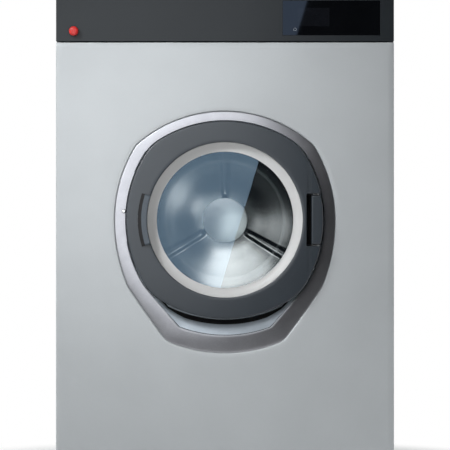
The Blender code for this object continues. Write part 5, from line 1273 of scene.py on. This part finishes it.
def makeTubFront():
    s = tubSizes
    outer = standingBox("tub_front")[-1]
    neck, front, wall = s["neck"], s["front"], s["wall"]
    profile = rounded([(neck, s["neckFront"]), (neck + wall, s["neckFront"]), (neck + wall, front - 0.010),
                       (neck + wall + 0.010, front), (outer, front), (outer, front + wall),
                       (neck + 0.010, front + wall), (neck, front - 0.010)], 0.001, 2, closed=True)
    turnPiece("tubFront", profile, s["steps"], doorCentre, tubSteel, "tub", "tub_front", closed=True)


gasketSizes = {
    "wall": 0.0024, "reach": 0.2268, "still": 0.036, "riding": 0.082,
    "line": [(0.2220, 0.0316), (0.2095, 0.0316), (0.2080, 0.0355), (0.2140, 0.0400), (0.2245, 0.0440),
             (0.2245, 0.0480), (0.2130, 0.0520), (0.2075, 0.0570), (0.2075, 0.0610), (0.2150, 0.0660),
             (0.2245, 0.0700), (0.2245, 0.0740), (0.2178, 0.0790), (0.2178, 0.0840), (0.2178, 0.1000)],
}


# Bellows of rubber from the pan's hole to the tub's neck
def makeGasket():
    s = gasketSizes
    line = smoothLine(s["line"], 4)
    profile = line + [(radius + s["wall"], depth) for radius, depth in reversed(line)]
    profile = [(min(radius, s["reach"]), depth) for radius, depth in profile]
    gasket = turnPiece("doorGasket", profile, 144, doorCentre, greyRubber, None, "door_gasket", closed=True,
                       sharp=60)
    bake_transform(gasket)


springSizes = {"Turns": 6.5, "Coil": 0.0295, "Wire": 0.0050, "Height": 0.2190, "Place": Vector((0, 0, 0))}


# The end coils lie closer, as on a spring with closed ends
def makeSprings():
    tree, given, identifiers = nodeTree("springTree", springSizes)
    spiral = outOf(tree, "GeometryNodeCurveSpiral", {
        "Resolution": 24, "Rotations": given["Turns"], "Start Radius": given["Coil"],
        "End Radius": given["Coil"], "Height": 0.0,
    })
    factor = outOf(tree, "GeometryNodeSplineParameter")
    eased = rangeNode(tree, factor, kind="SMOOTHSTEP")
    share = mathNode(tree, "ADD", mathNode(tree, "MULTIPLY", factor, 0.55),
                     mathNode(tree, "MULTIPLY", eased, 0.45))
    rise = vectorNode(tree, z=mathNode(tree, "MULTIPLY", share, given["Height"]))
    lifted = outOf(tree, "GeometryNodeSetPosition", {"Geometry": spiral, "Offset": rise})
    wire = outOf(tree, "GeometryNodeCurvePrimitiveCircle", {"Resolution": 10, "Radius": given["Wire"]})
    tube = outOf(tree, "GeometryNodeCurveToMesh", {0: lifted, 1: wire, "Fill Caps": True})
    moved = outOf(tree, "GeometryNodeTransform", {"Geometry": tube, "Translation": given["Place"]})
    endTree(tree, moved, groundSteel)
    radius = springSizes["Wire"]
    for corner in cornerNames:
        name = "spring_" + corner
        x, y, low, high = standingBox(name)[:4]
        values = dict(springSizes, Place=Vector((x, y, low + radius)), Height=high - low - 2 * radius)
        spring = growPiece(name, tree, identifiers, values, groundSteel, None, name)
        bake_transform(spring)


hoseSizes = {
    "bore": 0.0283, "cuff": 0.014, "foldHeight": 0.0068, "folds": 5, "wall": 0.0022,
    "drainStart": (-0.0903, frontY + 0.300, 0.2612), "drainEnd": (-0.200, frontY + 0.5279, 0.150),
    "drainPull": 0.080, "drainRadius": 0.0255, "drainWaist": 0.93, "drainSteps": 40,
}


def makeFillHose():
    s = hoseSizes
    x, y, low, high = standingBox("fill_hose")[:4]
    height, bore, cuff = high - low, s["bore"], s["cuff"]
    line = [(bore, 0), (bore, cuff)]
    for fold in range(1, s["folds"] + 1):
        line.append((bore + s["foldHeight"] * (fold % 2),
                     cuff + (height - 2 * cuff) * fold / (s["folds"] + 1)))
    line = smoothLine(line + [(bore, height - cuff), (bore, height)], 5)
    profile = [(radius, low + along) for radius, along in line]
    profile += [(radius + s["wall"], low + along) for radius, along in reversed(line)]
    hose = turnPiece("fillHose", profile, 48, (x, y, 0), blackRubber, None, "fill_hose", upright, closed=True,
                     sharp=60)
    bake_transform(hose)


def makeDrainHose():
    s = hoseSizes
    start, end = Vector(s["drainStart"]), Vector(s["drainEnd"])
    pull, steps = s["drainPull"], s["drainSteps"]
    curve = bpy.data.curves.new("drainHose", "CURVE")
    curve.dimensions = "3D"
    curve.bevel_depth = s["drainRadius"]
    curve.bevel_resolution = 8
    curve.use_fill_caps = True
    spline = curve.splines.new("POLY")
    spline.points.add(steps)
    for step, target in enumerate(spline.points):
        share = step / steps
        first = start + Vector((-pull * share, 0, 0))
        last = end + Vector((0, -pull * (1 - share), 0))
        target.co = (*first.lerp(last, easeShare(share)), 1)
        target.radius = 1.0 if step % 2 else s["drainWaist"]
    source = newObject("drainHoseLine", curve)
    bm = bmesh.new()
    bm.from_mesh(freeze(source, 60))
    bpy.data.objects.remove(source)
    hose = addPiece("drainHose", bm, blackRubber, None, "drain_hose", sharp=60)
    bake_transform(hose)


pipeSizes = {
    "place": (-0.200, frontY, 0.150), "outer": 0.0375, "bore": 0.0345, "inside": 0.7882, "end": 0.831,
    "flange": 0.052, "flangeThick": 0.004, "length": 0.260, "round": 0.0006,
}


def makeDrainPipe():
    s = pipeSizes
    outer, bore, inside, flange, end = s["outer"], s["bore"], s["inside"], s["flange"], s["end"]
    start, near = inside - s["length"], inside - s["flangeThick"]
    profile = [(bore, start), (outer, start), (outer, near), (flange, near), (flange, inside),
               (outer, inside), (outer, end), (bore, end)]
    turnPiece("drainPipe", rounded(profile, s["round"], 2, closed=True), 96, s["place"], greyPolypropylene,
              "cabinet", "drain_outlet", closed=True)


screwSizes = {"Count": 8, "Radius": 0.0042, "Proud": 0.0020, "Low": 0.140, "High": 1.130, "Side": 0.472}


# Screws that hold the rear panel
def makeScrews():
    tree, given, identifiers = nodeTree("screwTree", screwSizes)
    step = mathNode(tree, "DIVIDE", given["High"], mathNode(tree, "SUBTRACT", given["Count"], 1.0))
    offset = vectorNode(tree, z=step)
    joined = addNode(tree, "GeometryNodeJoinGeometry")
    for side in (-1, 1):
        start = vectorNode(tree, mathNode(tree, "MULTIPLY", given["Side"], side), rearY, given["Low"])
        line = outOf(tree, "GeometryNodeMeshLine", {
            "Count": given["Count"], "Start Location": start, "Offset": offset,
        }, mode="OFFSET")
        tree.links.new(line, joined.inputs[0])
    head = outOf(tree, "GeometryNodeMeshUVSphere", {"Segments": 16, "Rings": 8, "Radius": given["Radius"]})
    share = mathNode(tree, "DIVIDE", given["Proud"], given["Radius"])
    many = outOf(tree, "GeometryNodeInstanceOnPoints", {
        "Points": joined.outputs[0], "Instance": head, "Scale": vectorNode(tree, 1.0, share, 1.0),
    })
    endTree(tree, many, zincPlate)
    growPiece("rearScrews", tree, identifiers, screwSizes, zincPlate, "cabinet")


makeTubFront()
makeGasket()
makeSprings()
makeFillHose()
makeDrainHose()
makeDrainPipe()
makeScrews()
dress(tubSteel, "tub_shell")
dress(castIron, "bearing_housing", "suspension_cradle", "ballast", "drum_pulley")
dress(groundSteel, "front_bearing", "rear_bearing", "drum_shaft", "motor_pulley", "heating_element")
dress(castAluminium, "motor", "drum_spider")
dress(blackRubber, "shaft_seal", "drive_belt")
dress(greyPolypropylene, "drain_valve")
print("tub and rear made")
